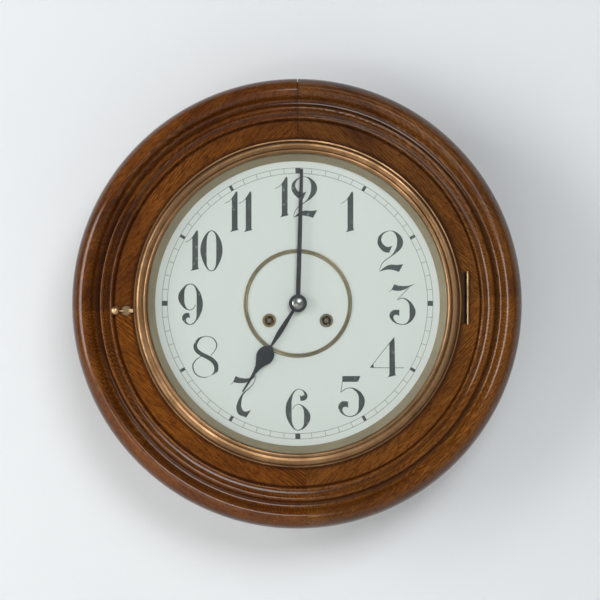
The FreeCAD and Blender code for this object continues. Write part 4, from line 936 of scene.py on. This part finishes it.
NINE = [
    Stroke(
        [(14, 3.8), (10, 4.9), (6, 8.8), (3, 13), (2, 17.5), (2.8, 21.5), (5.5, 25.7), (9, 29.2),
         (13, 30.6), (17, 29.3), (19.7, 25)],
        [(14, 4.5), (11, 5.8), (9, 8.9), (8.2, 13), (8.1, 17.5), (8.2, 21.5), (8.9, 25),
         (10.6, 28.4), (13.2, 29.9), (16.6, 28.7), (19.1, 24.8)]),
    Stroke(
        [(14, 3.8), (17.2, 4.6), (20.2, 7.2), (24, 13), (26, 19), (26.6, 25), (25.6, 31),
         (23, 37), (20.2, 41.2), (17.5, 44), (14, 45.2), (10.4, 44.3), (7.3, 41.6), (5.7, 38.3),
         (7, 35), (9.5, 33.2), (13, 33.1)],
        [(14, 4.5), (16.8, 5.5), (18.8, 8), (20.2, 13), (20.4, 19), (20.4, 25), (20.3, 31),
         (20.1, 37), (19.2, 40.3), (17, 42.9), (14, 44.4), (11.6, 43.3), (10, 41.4), (9.9, 39.5),
         (10.8, 38.1), (12.1, 37.7), (13.9, 38.1)]),
]
NOUGHT = [
    Stroke(
        [(27.2, 3.4), (23.6, 5.2), (20, 9.6), (17.3, 15.5), (16.1, 22), (16.4, 27), (18, 33),
         (20.5, 38.7), (23.6, 43.1), (27.2, 44.7)],
        [(27.2, 4.1), (24.8, 5.9), (23, 9.8), (22.4, 15.5), (22.3, 22), (22.3, 27), (22.4, 33),
         (22.6, 38.2), (24.4, 42.3), (27.2, 44)]),
    Stroke(
        [(27.2, 3.4), (30.8, 5), (34.1, 9), (36.8, 14.5), (38.1, 21), (38, 26.5), (36.5, 32.7),
         (34, 38.2), (30.8, 43.1), (27.2, 44.7)],
        [(27.2, 4.1), (29.6, 5.8), (31.3, 9.3), (31.8, 15), (31.9, 21), (31.9, 26.5),
         (31.8, 32.5), (31.4, 38), (29.8, 42.2), (27.2, 44)]),
]


@dataclass
class Dial:
    """The painted dial: its numbers, its minute track and its brass ring."""

    finish: Finish
    level: float = -86.0
    unit: float = 1.05
    track_inner: float = 136.6
    track_outer: float = 142.3
    hairline: float = 0.42
    sunk: float = 0.005
    ink_lift: float = 0.05
    stroke_step: float = 0.004
    numbers: dict[str, list[tuple[list[Stroke], float, float]]] = field(default_factory=lambda: {
        "12": [(ONE, -24.0, -130.3), (TWO, -8.6, -131.5)],
        "1": [(ONE, 41.8, -115.5)],
        "2": [(TWO, 77.6, -77.5)],
        "3": [(THREE, 89.6, -23.5)],
        "4": [(FOUR, 62.6, 26.5)],
        "5": [(FIVE, 38.6, 68.5)],
        "6": [(SIX, -14.4, 80.5)],
        "7": [(SEVEN, -66.4, 72.5)],
        "8": [(EIGHT, -105.4, 32.5)],
        "9": [(NINE, -121.4, -23.5)],
        "10": [(ONE, -113.4, -76.5), (NOUGHT, -113.4, -76.5)],
        "11": [(ONE, -74.0, -115.5), (ONE, -60.1, -115.5)],
    })

    def stroke_patch(self, stroke: Stroke, right: float, down: float, lift: float) -> Patch:
        """Return one stroke laid on the dial.

        Args:
            stroke: the stroke in drawing units.
            right: where the drawing's corner lies, right of the dial's middle.
            down: where the drawing's corner lies, below the dial's middle.
            lift: how far the ink stands in front of the dial, in millimetres.

        Returns:
            The closed shell.
        """
        edges = []
        for points in (stroke.left, stroke.right):
            line = smooth_line(points) if stroke.curved else np.array(points, float)
            edges.append((line + (right, down)) * (1, -1) * self.unit * MM)
        return blade(*edges, (self.level - lift) * MM, (self.level - self.sunk) * MM)

    def build_numbers(self) -> None:
        """Build the twelve numbers as thin ink."""
        for number, drawings in self.numbers.items():
            patches = []
            for strokes, right, down in drawings:
                for order, stroke in enumerate(strokes):
                    lift = self.ink_lift + self.stroke_step * order
                    patches.append(self.stroke_patch(stroke, right, down, lift))
            Piece(f"number_{number}", Body.CASE, "dial_white", self.finish.ink).build(patches)

    def band(self, inner: float, outer: float, lift: float) -> Patch:
        """Return a flat ring of ink between two radii in millimetres."""
        low, high = self.level - self.sunk, self.level - lift
        return turned(section([(inner, low), (outer, low), (outer, high), (inner, high)]), steps=360)

    def tick(self, angle: float, inner: float, outer: float, width: float, lift: float) -> Patch:
        """Return a straight mark across the track at a clock angle, all in millimetres."""
        turn = math.radians(angle)
        out = np.array([math.sin(turn), math.cos(turn)])
        side = np.array([out[1], -out[0]]) * width / 2
        near, far = inner * out, outer * out
        outline = np.array([near - side, near + side, far + side, far - side])
        return prism(outline * MM, (self.level - lift) * MM, (self.level - self.sunk) * MM)

    def build_track(self) -> None:
        """Build the two hairline circles, the minute marks and the blocks every five."""
        half = self.hairline / 2
        track = (self.track_inner, self.track_outer)
        lines = [self.band(radius - half, radius + half, 0.04) for radius in track]
        blocks = []
        for minute in range(60):
            angle = 6.0 * minute
            if minute % 5:
                lines.append(self.tick(angle, *track, self.hairline, 0.045))
            else:
                width = 5.2 if minute % 15 == 0 else 3.2
                blocks.append(self.tick(angle, *track, width, self.ink_lift))
        Piece("minute_lines", Body.CASE, "dial_white", self.finish.fine_ink).build(lines)
        Piece("minute_blocks", Body.CASE, "dial_white", self.finish.ink).build(blocks)

    def build_ring(self) -> None:
        """Build the beaded brass ring."""
        points = [(52.8, -86), (57, -86), (57, -86.8), (55.2, -87.0), (54.6, -87.0), (52.8, -86.8)]
        ring = section(points, {2: (0.95, 1), 4: (0.95, 1)})
        brass = self.finish.slots["ring_brass"]
        Piece("brass_ring", Body.CASE, "ring_brass", brass, ("centre_ring",)).build(
            [turned(ring, steps=240)])

    def build(self) -> None:
        """Build everything that is painted or pressed into the dial."""
        self.build_numbers()
        self.build_track()
        self.build_ring()


# ------------------------------------------------------------------ bezel
@dataclass
class Bezel:
    """The spun brass ring that holds the glass, and the pale ring inside it."""

    finish: Finish

    def build_ring(self) -> None:
        """Build the bezel: a thin lip, a large half round, a groove and a small bead."""
        points = [
            (171.5, -90.6), (171.5, -91.8), (169.4, -92), (162.3, -98.4), (161.6, -98.2),
            (156.5, -98.6), (156.5, -98), (161.2, -98), (161.2, -94.8), (162.2, -94.8),
            (162.2, -96.94), (168.6, -92.96), (168.6, -90.6),
        ]
        outline = section(points, {2: (5, 1), 4: (2.7, 1), 10: (3.9, -1)})
        brass = self.finish.slots["bezel_brass"]
        Piece("bezel_spinning", Body.BEZEL, "bezel_brass", brass, ("bezel_ring",)).build(
            [turned(outline, steps=320)])

    def build_sight(self) -> None:
        """Build the sloped pale ring between the glass and the dial."""
        points = [
            (161.2, -96), (161.2, -95.3), (156.6, -95.3), (150.2, -86.5), (149.5, -86.5),
            (155.9, -96),
        ]
        brass = self.finish.slots["sight_brass"]
        Piece("sight_cone", Body.BEZEL, "sight_brass", brass, ("sight_ring",)).build(
            [turned(section(points), steps=320)])

    def build(self) -> None:
        """Build the bezel's visible metal."""
        self.build_ring()
        self.build_sight()


# ------------------------------------------------------------------ hands
@dataclass
class Hands:
    """The two blued black hands."""

    finish: Finish
    minute_angle: float = 1.6
    hour_angle: float = 212
    minute_length: float = 141
    hour_length: float = 109
    rounding: float = 0.32

    def edges(self, halves: np.ndarray, angle: float) -> tuple[np.ndarray, np.ndarray]:
        """Return the two edges of a hand in metres.

        The edge at (along, half) lies at along w +- half s, where w points out at the
        clock angle and s is square to it.

        Args:
            halves: (along, half width) rows in millimetres.
            angle: the hand's clock angle in degrees.

        Returns:
            The (x, z) points of the two edges.
        """
        turn = math.radians(angle)
        out = np.array([math.sin(turn), math.cos(turn)])
        side = np.array([out[1], -out[0]])
        middle = np.outer(halves[:, 0], out)
        reach = np.outer(halves[:, 1], side)
        return (middle - reach) * MM, (middle + reach) * MM

    def build_minute(self) -> None:
        """Build the straight minute hand with its round boss."""
        outline = [(7.5, 2.35), (40, 2.3), (80, 2.15), (120, 1.8), (135, 1.6),
                   (self.minute_length, 1.45)]
        edges = self.edges(smooth_line(outline), self.minute_angle)
        bar = blade(*edges, -92.55 * MM, -92.1 * MM, self.rounding * MM)
        rim = [(4.6, -91.25), (9.4, -91.25), (9.4, -92.9), (8.9, -93.5), (7.2, -93.6), (4.6, -93.6)]
        black = self.finish.worn_black
        Piece("minute_blade", Body.MINUTE, "hand_black", black, ("minute_hand",)).build(
            [bar, turned(section(rim), steps=96)])

    def build_hour(self) -> None:
        """Build the hour hand: a swelling stalk, a round-shouldered spade and a tip."""
        stalk = [(6, 1.4), (14, 1.75), (25, 2.35), (36, 2.6), (45, 1.9), (52.5, 1.05)]
        spade = [(52.5, 1.05), (54.5, 3.6), (57.5, 6.9), (61, 8.6), (65, 9.1), (69, 8.3), (73, 6.0),
                 (78, 3.6), (83, 2.25), (88, 1.6), (98, 1.15), (self.hour_length, 0.75)]
        patches = []
        for outline in (stalk, spade):
            edges = self.edges(smooth_line(outline), self.hour_angle)
            patches.append(blade(*edges, -89.75 * MM, -89.3 * MM, self.rounding * MM))
        collar = section([(4.45, -88.95), (8, -88.95), (8, -90.0), (7.8, -90.15), (4.45, -90.15)])
        patches.append(turned(collar, steps=96))
        black = self.finish.worn_black
        Piece("hour_blade", Body.HOUR, "hand_black", black, ("hour_hand",)).build(patches)

    def build(self) -> None:
        """Build both hands."""
        self.build_minute()
        self.build_hour()


# ------------------------------------------------------------------ latch
@dataclass
class Latch:
    """The turn button on the left that holds the bezel shut."""

    finish: Finish
    pivot: tuple[float, float] = (-179.0, -7.8)
    level: float = -92.9
    ball_radius: float = 4.5
    ball_reach: float = 11.5
    ball_level: float = -95

    def build(self) -> None:
        """Build the lever: a ball on a stem, an eye at the pivot and a short tongue."""
        x, z = self.pivot
        angles = np.linspace(0, np.pi, 25)
        ball = self.ball_radius * np.stack([np.sin(angles), -np.cos(angles)], axis=1) * MM
        ball[[0, -1], 0] = 0
        middle = ((x - self.ball_reach) * MM, self.ball_level * MM, z * MM)
        patches = [knob(ball, middle, (-1, 0, 0))]
        along = np.linspace(-8.2, -2.6, 12)
        share = (along + 8.2) / 5.6
        path = np.stack([x + along, -94.6 + 1.5 * share, np.full(12, z)], axis=1) * MM
        patches.append(tube(path, (1.5 - 0.7 * np.sin(np.pi * share) ** 0.7 + 0.1 * share) * MM))
        eye = [(0.05, 0.6), (3.2, 0.6), (3.35, 0.3), (3.35, -0.3), (3.1, -0.6), (0.05, -0.6)]
        boss = turned(section([(radius, self.level + rise) for radius, rise in eye]), steps=64)
        boss.vertices = boss.vertices + np.array([x * MM, 0, z * MM])
        patches.append(boss)
        halves = smooth_line([(2.2, 1.9), (4.2, 1.5), (5.4, 1.7), (7.05, 1.95)])
        middle = np.stack([x + halves[:, 0], np.full(len(halves), z)], axis=1) * MM
        reach = np.stack([np.zeros(len(halves)), halves[:, 1]], axis=1) * MM
        front, back = (self.level - 0.4) * MM, (self.level + 0.5) * MM
        patches.append(blade(middle - reach, middle + reach, front, back, 0.25 * MM))
        brass = self.finish.latch
        Piece("latch_turn_button", Body.LATCH, "bezel_brass", brass, ("latch_lever",)).build(patches)


# ------------------------------------------------------------------ room
@dataclass
class Studio:
    """A pale wall and floor, soft window light from the left, and the camera."""

    distance: float = 1.6
    offset: tuple[float, float] = (-0.0389, -0.0166)
    aim: tuple[float, float] = (0.0023, 0.0035)
    dial_level: float = -0.086
    view_width: float = 0.6297
    sensor: float = 36
    wall_level: float = 0.0015
    floor_level: float = -0.9
    ceiling: float = 2.6

    def wall_material(self) -> bpy.types.Material:
        """Return pale wall paint that can't be seen or cast a shadow from behind."""
        n = Nodes("wall_paint")
        cloud = n.noise(n.place((3, 3, 3)), 1.0, 3, 0.5)
        colour = n.mix(cloud, (0.76, 0.78, 0.80), (0.80, 0.82, 0.83))
        paint = n.add("BsdfDiffuse", {"Color": colour}).outputs[0]
        clear = n.add("BsdfTransparent").outputs[0]
        hidden = n.math("MAXIMUM", n.add("NewGeometry").outputs["Backfacing"],
                        n.add("LightPath").outputs["Is Shadow Ray"])
        mixed = n.add("MixShader", {0: hidden, 1: paint, 2: clear})
        n.tree.links.new(mixed.outputs[0], n.output.inputs[0])
        return n.material

    def sheet(self, name: str, corners: Sequence[Sequence[float]],
              material: bpy.types.Material) -> None:
        """Add one flat four-cornered sheet of the room."""
        mesh = bpy.data.meshes.new(name)
        mesh.from_pydata(corners, [], [[0, 1, 2, 3]])
        mesh.materials.append(material)
        panel = bpy.data.objects.new(name, mesh)
        bpy.context.scene.collection.objects.link(panel)

    def build_room(self) -> None:
        """Build the wall just behind the clock and the floor far below it."""
        y, low, high = self.wall_level, self.floor_level, self.ceiling
        corners = [(-3, y, low), (3, y, low), (3, y, high), (-3, y, high)]
        self.sheet("wall", corners, self.wall_material())
        n = Nodes("floor_paint")
        cloud = n.noise(n.place((3, 3, 3)), 1.0, 3, 0.5)
        colour = n.mix(cloud, (0.66, 0.66, 0.65), (0.7, 0.7, 0.69))
        floor = n.finish({"Base Color": colour, "Roughness": 0.7})
        self.sheet("floor", [(-4, -4, low), (4, -4, low), (4, 4, low), (-4, 4, low)], floor)

    def lamp(self, name: str, place: Sequence[float], target: Sequence[float], size: Point,
             power: float, colour: Colour) -> None:
        """Add one rectangular soft light.

        Args:
            name: the light's name.
            place: where it stands.
            target: what it looks at.
            size: its width and height in metres.
            power: its power in watts.
            colour: its colour.
        """
        light = bpy.data.lights.new(name, "AREA")
        light.shape = "RECTANGLE"
        light.size, light.size_y = size
        light.energy = power
        light.color = colour
        lamp = bpy.data.objects.new(name, light)
        aim = (Vector(target) - Vector(place)).to_track_quat("-Z", "Y")
        lamp.matrix_world = Matrix.Translation(place) @ aim.to_matrix().to_4x4()
        bpy.context.scene.collection.objects.link(lamp)

    def build_lights(self) -> None:
        """Light the clock from a window on the left, a soft fill, and from behind."""
        case, wall, square = (0, -0.05, 0), (0, 0, 0), (1.6, 1.6)
        self.lamp("window", (-3.1, -2.05, 0.25), case, (1.35, 2.5), 82, (1.0, 0.99, 0.975))
        self.lamp("room", (0.8, -3.2, 1.55), wall, (1.6, 1.3), 56, (0.96, 0.985, 1.0))
        self.lamp("low_glow", (-0.9, -2.3, -0.8), wall, (1.6, 0.5), 8, (1.0, 0.97, 0.92))
        self.lamp("rear_left", (-1.6, 1.8, 1.2), case, square, 28, (1.0, 0.98, 0.96))
        self.lamp("rear_right", (1.8, 1.6, 0.4), case, square, 16, (0.96, 0.98, 1.0))
        world = bpy.data.worlds.new("air")
        world.use_nodes = True
        sky = world.node_tree.nodes["Background"]
        sky.inputs[0].default_value = (0.93, 0.965, 1.0, 1)
        sky.inputs[1].default_value = 0.15
        bpy.context.scene.world = world

    def build_camera(self) -> None:
        """Set the camera a little left of and below the dial, and turn it to the dial."""
        data = bpy.data.cameras.new("camera")
        camera = bpy.data.objects.new("camera", data)
        place = Vector((self.offset[0], self.dial_level - self.distance, self.offset[1]))
        look = Vector((self.aim[0], self.dial_level, self.aim[1])) - place
        camera.location = place
        camera.rotation_euler = look.to_track_quat("-Z", "Y").to_euler()
        data.sensor_width = self.sensor
        data.lens = self.sensor * self.distance / self.view_width
        data.clip_start = 0.01
        bpy.context.scene.collection.objects.link(camera)
        bpy.context.scene.camera = camera

    def build(self) -> None:
        """Build the room, its lights and the camera."""
        self.build_room()
        self.build_lights()
        self.build_camera()
        settings = bpy.context.scene.view_settings
        settings.view_transform = "Standard"
        settings.look = "None"


def main() -> None:
    """Build the clock's looks in order and report each sub-assembly."""
    logging.basicConfig(level=logging.INFO, format="%(name)s %(message)s")
    finish = Finish()
    finish.dress_frame()
    clock = (Case(finish), Dial(finish), Bezel(finish), Hands(finish), Latch(finish))
    for assembly in (*clock, Studio()):
        assembly.build()
        LOG.info("built %s", type(assembly).__name__)


if __name__ == "__main__":
    main()
